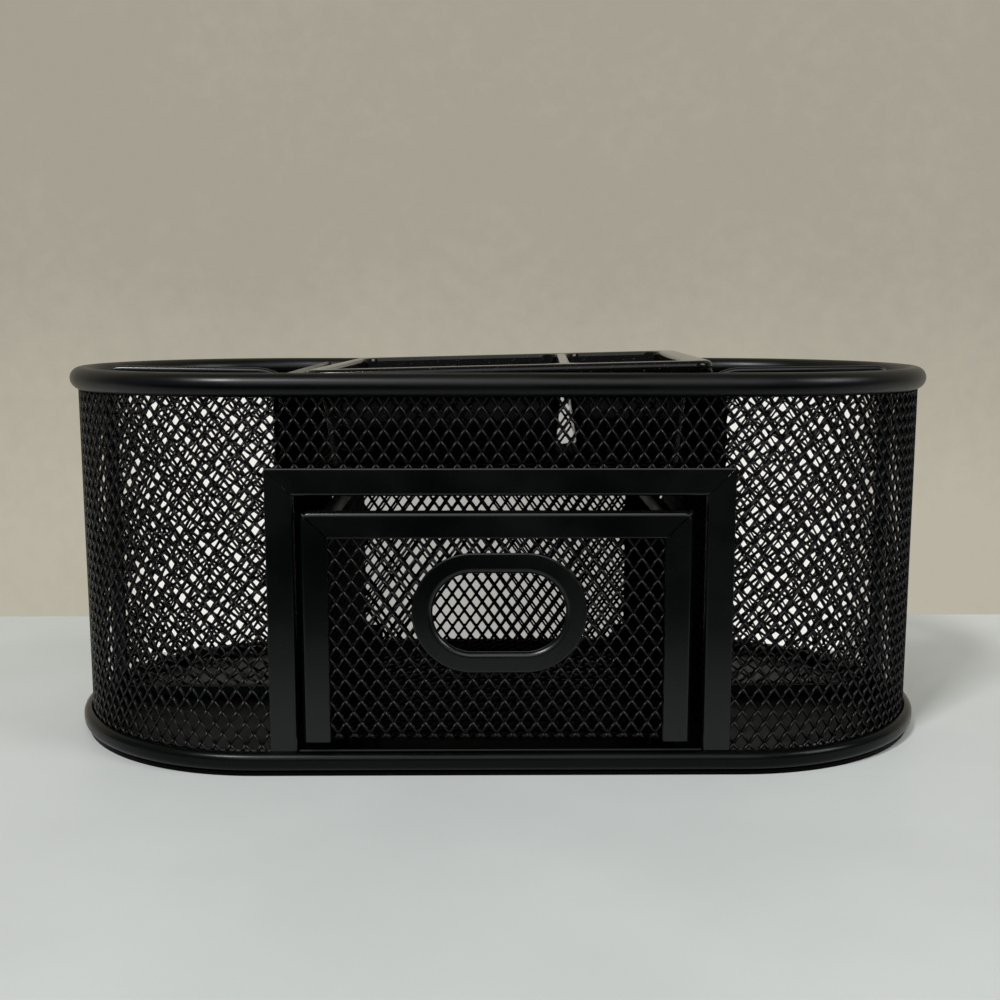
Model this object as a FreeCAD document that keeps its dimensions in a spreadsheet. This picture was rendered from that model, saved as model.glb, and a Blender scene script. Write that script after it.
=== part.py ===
import FreeCAD, Part
import math
import os
import Sketcher

# Oval desk stand of expanded steel mesh, with a drawer under its middle bay, a mesh divider in
# each end compartment and a moulded small-parts tray that lifts out of the bay.
#
# Frame: +X to the right, +Y to the rear, +Z up.  The origin is on the table, under the middle
# of the base.  In plan the stand is a straight run with a half-round end on either side.
# Mesh is modelled as thin sheet of the same outline, with a plain grid of openings that stands
# for its fine diamonds.

Vector = FreeCAD.Vector
UP = Vector(0, 0, 1)

# alias, millimetres or degrees, meaning
SIZES = (
    ("overall_length", 235.0, "stand, end to end over the base ring"),
    ("overall_depth", 114.0, "stand, front to rear over the base ring"),
    ("rim_height", 99.3, "table to the top of the rim"),
    ("mesh_sheet", 0.7, "thickness of the expanded mesh"),
    ("window_pitch", 18.0, "openings that stand for the mesh, middle to middle, about"),
    ("window_bar", 3.6, "bars between those openings"),
    ("window_turn", 34.0, "degrees round an end where they pass from the sides to the end"),
    ("strip_sheet", 0.6, "thickness of the folded steel strips"),
    ("crimp_gap", 0.1, "room on either side of a sheet that a strip grips"),
    ("seat_gap", 0.2, "clearance of pieces that only stand on each other"),
    ("rim_radius", 2.95, "rolled rim, outside radius"),
    ("rim_inset", 0.8, "middle of the rim, in from the outside of the wall"),
    ("ring_stand_out", 2.6, "base ring, out from the outside of the wall"),
    ("ring_reach_in", 2.2, "base ring, in from the outside of the wall"),
    ("ring_height", 4.9, "base ring, underside to top"),
    ("ring_corner", 1.2, "rounding of the base ring"),
    ("pan_sheet", 0.8, "thickness of the floor pan"),
    ("pan_floor", 3.2, "table to the upper face of the floor"),
    ("pan_lip", 1.0, "height of the lip that the pan stands on"),
    ("pan_lip_out", 1.3, "lip of the pan, out from the outside of the wall"),
    ("opening_width", 99.9, "clear width of the drawer opening"),
    ("opening_top", 70.1, "table to the top of the drawer opening"),
    ("stile_width", 6.85, "upright strips of the drawer surround"),
    ("bar_height", 6.5, "top strip of the drawer surround"),
    ("surround_proud", 1.0, "face of the surround, out from the wall"),
    ("bay_beyond", 4.55, "side panels of the middle bay, outside of the drawer opening"),
    ("bay_drop", 1.0, "top of the bay's side panels, under the top of the rim"),
    ("bay_tab", 2.8, "tabs that weld the side panels to the wall"),
    ("roof_gap", 0.4, "underside of the bay's roof, above the lining of the drawer opening"),
    ("bay_flange", 5.0, "flanges that weld the roof to the side panels"),
    ("hem_width", 2.4, "folded hem over the top of a panel, across"),
    ("hem_height", 3.4, "folded hem over the top of a panel, deep"),
    ("divider_drop", 0.2, "divider beside the wall, under the top of the rim"),
    ("divider_outer_corner", 5.3, "divider, corner at the rim"),
    ("divider_inner_corner", 13.0, "divider, corner at the bay"),
    ("divider_foot_corner", 1.5, "divider, lower corners"),
    ("divider_strip", 3.4, "divider, width of the strip round it"),
    ("divider_grip", 1.6, "divider, depth of the mesh inside the strip"),
    ("divider_thickness", 2.0, "divider, over its strip"),
    ("runner_rise", 2.6, "shelf that carries the drawer, above the base ring"),
    ("runner_shelf", 7.9, "width of the shelf, leg to upright guide"),
    ("runner_play", 1.7, "room between the drawer and the guides, on either side"),
    ("runner_guide", 5.3, "upright guide, height above the shelf"),
    ("runner_foot", 5.0, "feet that weld the runners to the pan"),
    ("drawer_gap", 2.35, "drawer front in its opening, gap on either side"),
    ("drawer_drop", 3.7, "drawer front, under the top of its opening"),
    ("drawer_face", 2.1, "face of the drawer's strips, out from the wall"),
    ("drawer_strip", 6.7, "strips round the drawer front"),
    ("drawer_bend", 2.4, "outside radius of the drawer's bent edges"),
    ("drawer_rear_room", 11.7, "rear face of the drawer to the inside of the rear wall"),
    ("drawer_body_inset", 4.3, "sides of the drawer, in from the ends of its front"),
    ("drawer_side_drop", 0.4, "sides of the drawer, under the top of its front"),
    ("drawer_hem", 3.0, "hems of the drawer's sides and rear, across"),
    ("drawer_aside", 0.9, "drawer, left of the middle within its guides"),
    ("handle_width", 42.7, "grip ring, over its flange"),
    ("handle_height", 29.7, "grip ring, over its flange"),
    ("handle_band", 5.1, "grip ring, width of the flange before the mesh"),
    ("handle_rear_band", 3.4, "grip ring, width of the flange behind the mesh"),
    ("handle_middle", 41.3, "table to the middle of the grip ring"),
    ("handle_aside", 0.6, "grip ring, right of the middle of the drawer"),
    ("handle_sheet", 0.7, "thickness of the grip ring"),
    ("handle_edge", 0.3, "rounding of the grip ring"),
    ("tray_play", 6.2, "width between the bay's hems, less the tray's"),
    ("tray_depth_play", 8.3, "depth between the rims, less the tray's"),
    ("tray_rise", 1.2, "how much deeper the tray is than the bay under its side panels' tops"),
    ("tray_wall", 1.2, "wall of the moulded tray"),
    ("tray_skirt", 3.6, "height of the skirt round the flange"),
    ("tray_corner", 5.0, "corners of the flange and of the bins, in plan"),
    ("tray_edge", 1.3, "rounding of the upper edge of the flange"),
    ("tray_left_strip", 3.4, "flange beside the big bin, at its end"),
    ("tray_end_strip", 6.2, "flange beside the small bin, at its end"),
    ("tray_side_strip", 5.0, "flange beside the bins, at the front and rear"),
    ("tray_split", 14.1, "middle of the strip between the bins, right of the tray's middle"),
    ("tray_split_strip", 3.0, "strip between the bins"),
    ("tray_draft", 3.0, "how far each bin wall leans in from top to bottom"),
    ("tray_yaw", -2.5, "tray turned in the bay, degrees, rear end to the right"),
    ("tray_lap", 0.6, "how far the tray's skirt lies over the hem on the right"),
    ("tray_rearward", -2.7, "middle of the tray, behind the middle of the bay"),
    ("over_cut", 1.0, "how far the cutting shape of a groove runs past the piece"),
)

# Lengths that several pieces share, as expressions on the sheet.
HALF_STRAIGHT = "((Sizes.overall_length - Sizes.overall_depth) / 2)"
WALL = "(Sizes.overall_depth / 2 - Sizes.ring_stand_out)"
WALL_INSIDE = f"({WALL} - Sizes.mesh_sheet)"
RIM_MIDDLE = f"({WALL} - Sizes.rim_inset)"
RIM_Z = "(Sizes.rim_height - Sizes.rim_radius)"
RIM_INSIDE = f"({RIM_MIDDLE} - Sizes.rim_radius)"
RING_INSIDE = f"({WALL} - Sizes.ring_reach_in)"
RING_BOTTOM = "(Sizes.pan_lip + Sizes.seat_gap)"
RING_TOP = f"({RING_BOTTOM} + Sizes.ring_height)"
WALL_FOOT = f"({RING_BOTTOM} + Sizes.strip_sheet + Sizes.crimp_gap)"
WALL_HEAD = f"({RIM_Z} + Sizes.mesh_sheet)"
OPENING = "(Sizes.opening_width / 2)"
BAY = f"({OPENING} + Sizes.bay_beyond)"
BAY_INSIDE = f"({BAY} - Sizes.mesh_sheet)"
BAY_PANEL = f"({BAY} - Sizes.mesh_sheet / 2)"
PANEL_REACH = f"({WALL_INSIDE} - Sizes.crimp_gap)"
BAY_TOP = "(Sizes.rim_height - Sizes.bay_drop)"
ROOF_UNDER = "(Sizes.opening_top + Sizes.strip_sheet + Sizes.roof_gap)"
ROOF = f"({ROOF_UNDER} + Sizes.mesh_sheet)"
FLOOR = "Sizes.pan_floor"
SHELF = f"({RING_TOP} + Sizes.runner_rise)"
GUIDE_TOP = f"({SHELF} + Sizes.runner_guide)"
DRAWER_FLOOR = f"({SHELF} + Sizes.seat_gap)"
DRAWER_FACE = f"(-({WALL} + Sizes.drawer_face))"
DRAWER_MESH = f"({DRAWER_FACE} + Sizes.strip_sheet + Sizes.crimp_gap)"
DRAWER_SIDE_FRONT = f"({DRAWER_MESH} + Sizes.mesh_sheet + Sizes.strip_sheet + 2 * Sizes.crimp_gap)"
DRAWER_MIDDLE = "(-Sizes.drawer_aside)"
DRAWER_HALF = f"({OPENING} - Sizes.drawer_gap)"
DRAWER_TOP = "(Sizes.opening_top - Sizes.drawer_drop)"
DRAWER_SIDE_TOP = f"({DRAWER_TOP} - Sizes.drawer_side_drop)"
DRAWER_REAR = f"({WALL_INSIDE} - Sizes.drawer_rear_room)"
SIDE_HEM_OUT = f"({DRAWER_HALF} - Sizes.drawer_body_inset)"
SIDE_HEM_IN = f"({SIDE_HEM_OUT} - Sizes.drawer_hem)"
SIDE_MESH = f"({SIDE_HEM_OUT} - (Sizes.drawer_hem - Sizes.mesh_sheet) / 2)"
SIDE_HEM_WALL = "((Sizes.drawer_hem - Sizes.mesh_sheet) / 2 - Sizes.crimp_gap)"
GUIDE = f"({SIDE_HEM_OUT} + Sizes.runner_play)"
HANDLE_X = f"({DRAWER_MIDDLE} + Sizes.handle_aside)"
BAY_TAB = f"({BAY} - Sizes.bay_tab / 2)"
STILE = f"({OPENING} + Sizes.stile_width)"
TURN_X = f"({HALF_STRAIGHT} + {WALL} * sin(Sizes.window_turn * 1 deg))"
TURN_Y = f"({WALL} * cos(Sizes.window_turn * 1 deg))"
RIM_UNDER = "(Sizes.rim_height - 2 * Sizes.rim_radius)"
HEM = f"({BAY_PANEL} - Sizes.hem_width / 2)"
TRAY_HALF = f"({HEM} - Sizes.tray_play / 2)"
TRAY_HALF_DEPTH = f"({RIM_INSIDE} - Sizes.tray_depth_play / 2)"
TRAY_HEIGHT = f"({BAY_TOP} - {ROOF} + Sizes.tray_rise)"

TOUCHING = 1e-6

DOC = FreeCAD.newDocument("pen_stand")
SHEET = DOC.addObject("Spreadsheet::Sheet", "Sizes")


def fill_sheet():
    """Write every driving size into the sheet, one row each."""
    for row, (alias, number, meaning) in enumerate(SIZES, start=1):
        SHEET.set(f"A{row}", alias)
        SHEET.set(f"B{row}", str(number))
        SHEET.setAlias(f"B{row}", alias)
        SHEET.set(f"C{row}", meaning)
    DOC.recompute()


def value(expression):
    """The number that an expression on the sheet gives now."""
    return float(SHEET.evalExpression(expression))


# ---------------------------------------------------------------- sketches and features

def new_body(label):
    body = DOC.addObject("PartDesign::Body", label)
    body.Label = label
    return body


def sketch_on(body, role, offset="0"):
    """A sketch on one of the body's own planes, moved along the plane's normal."""
    plane = next(item for item in body.Origin.OriginFeatures if item.Role == role)
    sketch = body.newObject("Sketcher::SketchObject", f"{body.Label}_sketch")
    sketch.AttachmentSupport = [(plane, "")]
    sketch.MapMode = "FlatFace"
    sketch.setExpression("AttachmentOffset.Base.z", offset)
    return sketch


def drive(sketch, kind, *where):
    """Add a dimension whose last argument is an expression, and bind it."""
    expression = where[-1]
    index = sketch.addConstraint(Sketcher.Constraint(kind, *where[:-1], value(expression)))
    sketch.setExpression(f"Constraints[{index}]", expression)


def place_point(sketch, geometry, position, across, along):
    drive(sketch, "DistanceX", -1, 1, geometry, position, across)
    drive(sketch, "DistanceY", -1, 1, geometry, position, along)


def outline(sketch, corners):
    """Closed outline through corners (x, y) or (x, y, radius), all of them expressions."""
    spots = [Vector(value(corner[0]), value(corner[1]), 0) for corner in corners]
    count = len(corners)
    ends = []
    for index, corner in enumerate(corners):
        here = spots[index]
        before = (here - spots[index - 1]).normalize()
        after = (spots[(index + 1) % count] - here).normalize()
        point = sketch.addGeometry(Part.Point(here), True)
        place_point(sketch, point, 1, corner[0], corner[1])
        if len(corner) == 2:
            ends.append((here, here, point, 1, 1, None))
            continue
        radius = value(corner[2])
        left_turn = before.cross(after).z > 0
        side = 1 if left_turn else -1
        reach = radius * math.tan(before.getAngle(after) / 2)
        centre = here - before * reach + Vector(-before.y, before.x, 0) * (radius * side)
        start, finish = here - before * reach, here + after * reach
        first, last = (start, finish) if left_turn else (finish, start)
        angles = [math.atan2((spot - centre).y, (spot - centre).x) for spot in (first, last)]
        if angles[1] < angles[0]:
            angles[1] += 2 * math.pi
        arc = sketch.addGeometry(Part.ArcOfCircle(Part.Circle(centre, UP, radius), *angles))
        drive(sketch, "Radius", arc, corner[2])
        ends.append((start, finish, arc, 1 if left_turn else 2, 2 if left_turn else 1, point))
    for index in range(count):
        leave, arrive = ends[index], ends[(index + 1) % count]
        line = sketch.addGeometry(Part.LineSegment(leave[1], arrive[0]))
        for vertex, end, position in ((1, leave, leave[4]), (2, arrive, arrive[3])):
            if end[5] is None:
                sketch.addConstraint(Sketcher.Constraint("Coincident", line, vertex, end[2], 1))
                continue
            sketch.addConstraint(Sketcher.Constraint("Tangent", line, vertex, end[2], position))
            sketch.addConstraint(Sketcher.Constraint("PointOnObject", end[5], 1, line))


def rectangle(sketch, left, right, low, high, radius=None):
    corners = [(left, low), (right, low), (right, high), (left, high)]
    if radius is not None:
        corners = [corner + (radius,) for corner in corners]
    outline(sketch, corners)


def slot(sketch, half_straight, radius, across="0", along="0"):
    """Outline of a straight run with a half-round end on either side."""
    run, bow = value(half_straight), value(radius)
    middle = Vector(value(across), value(along), 0)
    right, left = middle + Vector(run, 0, 0), middle - Vector(run, 0, 0)
    drop = Vector(0, bow, 0)
    quarter = math.pi / 2
    lower = sketch.addGeometry(Part.LineSegment(left - drop, right - drop))
    east = sketch.addGeometry(Part.ArcOfCircle(Part.Circle(right, UP, bow), -quarter, quarter))
    upper = sketch.addGeometry(Part.LineSegment(right + drop, left + drop))
    west = sketch.addGeometry(Part.ArcOfCircle(Part.Circle(left, UP, bow), quarter, 3 * quarter))
    for edge, following in ((lower, east), (east, upper), (upper, west), (west, lower)):
        sketch.addConstraint(Sketcher.Constraint("Tangent", edge, 2, following, 1))
    place_point(sketch, east, 3, f"({across}) + {half_straight}", along)
    place_point(sketch, west, 3, f"({across}) - {half_straight}", along)
    drive(sketch, "Radius", east, radius)
    sketch.addConstraint(Sketcher.Constraint("Equal", east, west))


def pad(body, sketch, length, backwards=False, both_ways=False):
    feature = body.newObject("PartDesign::Pad", f"{body.Label}_pad")
    feature.Profile = sketch
    feature.setExpression("Length", length)
    feature.Reversed = backwards
    if both_ways:
        feature.SideType = "Symmetric"
    return feature


def pocket(body, sketch, length, backwards=False, both_ways=False):
    """Cut a sketch into the body, and make sure that it removes something."""
    DOC.recompute()
    before = body.Shape.Volume
    feature = body.newObject("PartDesign::Pocket", f"{body.Label}_pocket")
    feature.Profile = sketch
    feature.setExpression("Length", length)
    feature.Reversed = backwards
    if both_ways:
        feature.SideType = "Symmetric"
    DOC.recompute()
    if body.Shape.Volume >= before:
        raise RuntimeError(f"{feature.Name} cuts nothing")
    return feature


def windows(body, role, offset, across, along, depth, **way):
    """Cut a plain grid of openings into a mesh sheet.

    across and along are the two ends of the zone, on the sketch's own axes.  The outermost bars
    are centred on them.
    """
    (left, right), (low, high) = across, along
    columns, rows = (max(1, round(value(f"(({far}) - ({near})) / Sizes.window_pitch")))
                     for near, far in (across, along))
    wide, tall = f"(({right}) - ({left})) / {columns}", f"(({high}) - ({low})) / {rows}"
    edge = "Sizes.window_bar / 2"
    sketch = sketch_on(body, role, offset)
    for row in range(rows):
        foot = f"({low}) + {row} * {tall}"
        rectangle(sketch, f"({left}) + {edge}", f"({left}) + {wide} - {edge}",
                  f"{foot} + {edge}", f"{foot} + {tall} - {edge}")
    column = pocket(body, sketch, depth, **way)
    if columns > 1:
        pattern = body.newObject("PartDesign::LinearPattern", f"{body.Label}_columns")
        pattern.Originals = [column]
        pattern.Direction = (sketch, ["H_Axis"])
        pattern.setExpression("Length", f"{columns - 1} * {wide}")
        pattern.Occurrences = columns
        body.Tip = pattern


def pad_between(body, draw, role, low, high):
    """Pad what draw sketches, from one height along the plane's normal to another."""
    sketch = sketch_on(body, role, low)
    draw(sketch)
    return pad(body, sketch, f"({high}) - ({low})")


def round_edges(body, radius, wanted):
    """Fillet the edges of the body that wanted(edge) picks."""
    DOC.recompute()
    tip = body.Tip
    names = [f"Edge{number}" for number, edge in enumerate(tip.Shape.Edges, start=1)
             if wanted(edge)]
    if not names:
        raise RuntimeError(f"{body.Label} has no such edge to round")
    fillet = body.newObject("PartDesign::Fillet", f"{body.Label}_fillet")
    fillet.Base = (tip, names)
    fillet.setExpression("Radius", radius)
    return fillet


def oval_run(label, draw):
    """Body whose profile runs round the whole plan.

    draw(sketch, side) sketches the profile in the Y-Z plane; side is "-" for the front wall
    and "" for the rear wall.
    """
    body = new_body(label)
    right = sketch_on(body, "YZ_Plane", HALF_STRAIGHT)
    draw(right, "-")
    runs = sketch_on(body, "YZ_Plane", f"-{HALF_STRAIGHT}")
    draw(runs, "-")
    draw(runs, "")
    left = sketch_on(body, "YZ_Plane", f"-{HALF_STRAIGHT}")
    draw(left, "-")
    half_turn(body, right, False)
    pad(body, runs, f"2 * {HALF_STRAIGHT}")
    half_turn(body, left, True)
    return body


def half_turn(body, sketch, backwards):
    feature = body.newObject("PartDesign::Revolution", f"{body.Label}_end")
    feature.Profile = sketch
    feature.ReferenceAxis = (sketch, ["V_Axis"])
    feature.Angle = 180
    feature.Reversed = backwards
    return feature


def block(label, x_range, y_range, z_range):
    """Part::Box between pairs of expressions."""
    box = DOC.addObject("Part::Box", label)
    for side, axis, (low, high) in (("Length", "x", x_range), ("Width", "y", y_range),
                                    ("Height", "z", z_range)):
        box.setExpression(side, f"({high}) - ({low})")
        box.setExpression(f"Placement.Base.{axis}", low)
    return box


def cut(label, base, tool):
    result = DOC.addObject("Part::Cut", label)
    result.Base = base
    result.Tool = tool
    result.Label = label
    return result


def mirrored(side, inner, outer):
    """The X range of a piece that lies between two distances from the middle."""
    if side == "left":
        return f"-({outer})", f"-({inner})"
    return inner, outer


# ---------------------------------------------------------------- the stand

def make_base_pan():
    """Pressed floor: a flat lip to stand on, a riser inside the ring and a raised floor."""
    body = new_body("base_pan")
    riser = f"({RING_INSIDE} - Sizes.seat_gap)"

    def lip(sketch):
        slot(sketch, HALF_STRAIGHT, f"{WALL} + Sizes.pan_lip_out")

    def floor(sketch):
        slot(sketch, HALF_STRAIGHT, riser)

    def hollow(sketch):
        slot(sketch, HALF_STRAIGHT, f"{riser} - Sizes.pan_sheet")

    pad_between(body, lip, "XY_Plane", "0", "Sizes.pan_lip")
    pad_between(body, floor, "XY_Plane", "Sizes.pan_lip", FLOOR)
    under = sketch_on(body, "XY_Plane")
    hollow(under)
    pocket(body, under, f"{FLOOR} - Sizes.pan_sheet", backwards=True)
    return body


def make_base_ring():
    """Rolled channel round the foot of the wall, open upwards for the mesh."""
    outer, inner = f"({WALL} + Sizes.ring_stand_out)", RING_INSIDE
    lip_out, lip_in = f"({WALL} + Sizes.crimp_gap)", f"({WALL_INSIDE} - Sizes.crimp_gap)"
    low, high = RING_BOTTOM, RING_TOP
    bottom, under_lip = f"({low} + Sizes.strip_sheet)", f"({high} - Sizes.strip_sheet)"

    def profile(sketch, side):
        def corner(distance, height, *radius):
            return (f"{side}{distance}", height) + radius

        outline(sketch, [
            corner(lip_out, high),
            corner(outer, high, "Sizes.ring_corner"),
            corner(outer, low, "Sizes.ring_corner"),
            corner(inner, low),
            corner(inner, high),
            corner(lip_in, high),
            corner(lip_in, under_lip),
            corner(f"({inner} + Sizes.strip_sheet)", under_lip),
            corner(f"({inner} + Sizes.strip_sheet)", bottom),
            corner(f"({outer} - Sizes.strip_sheet)", bottom,
                   "(Sizes.ring_corner - Sizes.strip_sheet)"),
            corner(f"({outer} - Sizes.strip_sheet)", under_lip,
                   "(Sizes.ring_corner - Sizes.strip_sheet)"),
            corner(lip_out, under_lip),
        ])

    return oval_run("base_ring", profile)


def make_top_rim():
    """Tube rolled over the top of the wall, slotted underneath for the mesh."""
    def profile(sketch, side):
        for radius in ("Sizes.rim_radius", "Sizes.rim_radius - Sizes.strip_sheet"):
            middle = Vector(value(f"{side}{RIM_MIDDLE}"), value(RIM_Z), 0)
            circle = sketch.addGeometry(Part.Circle(middle, UP, value(radius)))
            place_point(sketch, circle, 3, f"{side}{RIM_MIDDLE}", RIM_Z)
            drive(sketch, "Radius", circle, radius)

    body = oval_run("top_rim", profile)
    opening = sketch_on(body, "XY_Plane", RIM_Z)
    slot(opening, HALF_STRAIGHT, f"{WALL} + Sizes.crimp_gap")
    slot(opening, HALF_STRAIGHT, f"{WALL_INSIDE} - Sizes.crimp_gap")
    pocket(body, opening, "Sizes.rim_radius")
    return body


def make_wall_mesh():
    """One sheet of mesh wrapped round the plan, with the drawer opening cut in its front."""
    def profile(sketch, side):
        inside, outside = f"{side}{WALL_INSIDE}", f"{side}{WALL}"
        rectangle(sketch, inside, outside, WALL_FOOT, WALL_HEAD)

    body = oval_run("wall_mesh", profile)
    opening = sketch_on(body, "XZ_Plane", WALL_INSIDE)
    edge = f"({OPENING} + Sizes.strip_sheet + Sizes.crimp_gap)"
    head = "(Sizes.opening_top + Sizes.strip_sheet + Sizes.crimp_gap)"
    rectangle(opening, f"-{edge}", edge, RING_TOP, head)
    pocket(body, opening, "2 * Sizes.mesh_sheet", both_ways=True)

    through = f"{WALL} + Sizes.over_cut"
    full, over_bar = (RING_TOP, RIM_UNDER), ("Sizes.opening_top + Sizes.bar_height", RIM_UNDER)
    windows(body, "XZ_Plane", "0", (f"-{BAY_TAB}", BAY_TAB), over_bar, through, backwards=True)
    windows(body, "XZ_Plane", "0", (f"-{BAY_TAB}", BAY_TAB), full, through)
    for side in ("left", "right"):
        windows(body, "XZ_Plane", "0", mirrored(side, STILE, TURN_X), full, through,
                backwards=True)
        windows(body, "XZ_Plane", "0", mirrored(side, BAY_TAB, TURN_X), full, through)
    windows(body, "YZ_Plane", "0", (f"-{TURN_Y}", TURN_Y), full,
            f"2 * ({HALF_STRAIGHT} + {through})", both_ways=True)
    return body


def make_surround():
    """Three mitred angle strips round the drawer opening: two stiles and a top bar."""
    out, top = f"({OPENING} + Sizes.stile_width)", "(Sizes.opening_top + Sizes.bar_height)"
    inside_top = "Sizes.opening_top"
    foot = f"({RING_TOP} + Sizes.crimp_gap)"
    face, back = f"({WALL} + Sizes.surround_proud)", f"({WALL} + Sizes.crimp_gap)"
    lining = f"({WALL_INSIDE} - Sizes.surround_proud)"
    flange_top = f"({inside_top} + Sizes.strip_sheet)"

    for side, sign in (("left", "-"), ("right", "")):
        def stile(sketch):
            outline(sketch, [(f"{sign}{OPENING}", foot), (f"{sign}{out}", foot),
                             (f"{sign}{out}", top), (f"{sign}{OPENING}", inside_top)])

        def stile_lining(sketch):
            low, high = mirrored(side, OPENING, f"{OPENING} + Sizes.strip_sheet")
            rectangle(sketch, low, high, foot, inside_top)

        body = new_body(f"surround_{side}")
        pad_between(body, stile, "XZ_Plane", back, face)
        pad_between(body, stile_lining, "XZ_Plane", lining, back)

    def bar(sketch):
        outline(sketch, [(f"-{OPENING}", inside_top), (OPENING, inside_top),
                         (out, top), (f"-{out}", top)])

    def bar_lining(sketch):
        rectangle(sketch, f"-{OPENING}", OPENING, inside_top, flange_top)

    body = new_body("surround_top")
    pad_between(body, bar, "XZ_Plane", back, face)
    pad_between(body, bar_lining, "XZ_Plane", lining, back)


def make_bay_side(side):
    """Mesh panel from the floor to the rim, with a tab at either end welded to the wall."""
    body = new_body(f"bay_side_{side}")
    low, high = FLOOR, f"({BAY_TOP} - Sizes.strip_sheet - Sizes.crimp_gap)"

    def section(sketch):
        sign = "-" if side == "left" else ""
        outline(sketch, [
            (f"{sign}{BAY}", f"-{PANEL_REACH}"),
            (f"{sign}{BAY}", PANEL_REACH),
            (f"{sign}({BAY} - Sizes.bay_tab)", PANEL_REACH),
            (f"{sign}({BAY} - Sizes.bay_tab)", f"({PANEL_REACH} - Sizes.mesh_sheet)"),
            (f"{sign}{BAY_INSIDE}", f"({PANEL_REACH} - Sizes.mesh_sheet)"),
            (f"{sign}{BAY_INSIDE}", f"(Sizes.mesh_sheet - {PANEL_REACH})"),
            (f"{sign}({BAY} - Sizes.bay_tab)", f"(Sizes.mesh_sheet - {PANEL_REACH})"),
            (f"{sign}({BAY} - Sizes.bay_tab)", f"-{PANEL_REACH}"),
        ])

    pad_between(body, section, "XY_Plane", low, high)
    # Its corners are notched round the rim and round the base ring.
    across = mirrored(side, f"({BAY} - 2 * Sizes.bay_tab)", f"({BAY} + Sizes.bay_tab)")
    notch(body, across, f"({RIM_INSIDE} - Sizes.crimp_gap)",
          f"({RIM_Z} - Sizes.rim_radius - Sizes.crimp_gap)", "Sizes.rim_height")
    notch(body, across, f"({RING_INSIDE} - Sizes.crimp_gap)",
          "0", f"({RING_TOP} + Sizes.crimp_gap)")

    sign = "-" if side == "left" else ""
    reach = f"({PANEL_REACH} - 2 * Sizes.bay_tab)"
    for heights in ((RING_TOP, f"{ROOF} - Sizes.bay_flange"),
                    (ROOF, f"{BAY_TOP} - Sizes.hem_height")):
        windows(body, "YZ_Plane", f"{sign}{BAY_PANEL}", (f"-{reach}", reach), heights,
                "2 * Sizes.mesh_sheet", both_ways=True)
    return body


def notch(body, across, reach, low, high):
    """Cut away what stands beyond reach at the front and the rear, between two heights."""
    sketch = sketch_on(body, "XY_Plane", low)
    for end in ("-", ""):
        rectangle(sketch, *across, f"{end}{reach}", f"{end}{WALL}")
    pocket(body, sketch, f"({high}) - ({low})", backwards=True)


def make_bay_hem(side):
    """Folded strip over the top edge of a bay side panel."""
    reach = f"({RIM_INSIDE} - Sizes.crimp_gap)"
    low = f"({BAY_TOP} - Sizes.hem_height)"
    strip = block(f"bay_hem_{side}_strip",
                  mirrored(side, HEM, f"({BAY_PANEL} + Sizes.hem_width / 2)"),
                  (f"-{reach}", reach), (low, BAY_TOP))
    groove_half = "(Sizes.hem_width / 2 - Sizes.strip_sheet)"
    groove = block(f"bay_hem_{side}_groove",
                   mirrored(side, f"({BAY_PANEL} - {groove_half})",
                            f"({BAY_PANEL} + {groove_half})"),
                   (f"-{WALL}", WALL),
                   (f"{low} - Sizes.over_cut", f"{BAY_TOP} - Sizes.strip_sheet"))
    return cut(f"bay_hem_{side}", strip, groove)


def make_bay_roof():
    """Mesh roof over the drawer, with a flange down each side panel."""
    body = new_body("bay_roof")
    edge = f"({BAY_INSIDE} - Sizes.crimp_gap)"
    hang = f"({ROOF} - Sizes.bay_flange)"

    def section(sketch):
        outline(sketch, [
            (f"-{edge}", hang), (f"(Sizes.mesh_sheet - {edge})", hang),
            (f"(Sizes.mesh_sheet - {edge})", ROOF_UNDER),
            (f"({edge} - Sizes.mesh_sheet)", ROOF_UNDER),
            (f"({edge} - Sizes.mesh_sheet)", hang), (edge, hang),
            (edge, ROOF), (f"-{edge}", ROOF),
        ])

    sketch = sketch_on(body, "XZ_Plane")
    section(sketch)
    reach = f"({PANEL_REACH} - Sizes.mesh_sheet - Sizes.crimp_gap)"
    pad(body, sketch, f"2 * {reach}", both_ways=True)
    return body


def make_runner(side):
    """Folded strip on the floor: a foot, a leg, a shelf for the drawer and an upright guide.

    Its rear end is folded up as the stop that the closed drawer meets.
    """
    body = new_body(f"runner_{side}")
    sign = "-" if side == "left" else ""
    thick = "Sizes.strip_sheet"
    leg, guide = f"({GUIDE} - Sizes.runner_shelf)", GUIDE
    foot = f"({leg} - Sizes.runner_foot)"
    front = f"(Sizes.seat_gap - {RING_INSIDE})"
    rear = f"({DRAWER_REAR} + Sizes.seat_gap + {thick})"

    def section(sketch):
        corners = [
            (foot, FLOOR), (f"({leg} + {thick})", FLOOR),
            (f"({leg} + {thick})", f"({SHELF} - {thick})"),
            (f"({guide} + {thick})", f"({SHELF} - {thick})"),
            (f"({guide} + {thick})", GUIDE_TOP),
            (guide, GUIDE_TOP), (guide, SHELF), (leg, SHELF),
            (leg, f"({FLOOR} + {thick})"), (foot, f"({FLOOR} + {thick})"),
        ]
        outline(sketch, [(f"{sign}{across}", height) for across, height in corners])

    def stop(sketch):
        rectangle(sketch, *mirrored(side, leg, f"({guide} + {thick})"),
                  f"({SHELF} - {thick})", GUIDE_TOP)

    pad_between(body, section, "XZ_Plane", f"-{rear}", f"-{front}")
    pad_between(body, stop, "XZ_Plane", f"-{rear}", f"-{rear} + {thick}")
    return body


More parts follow.
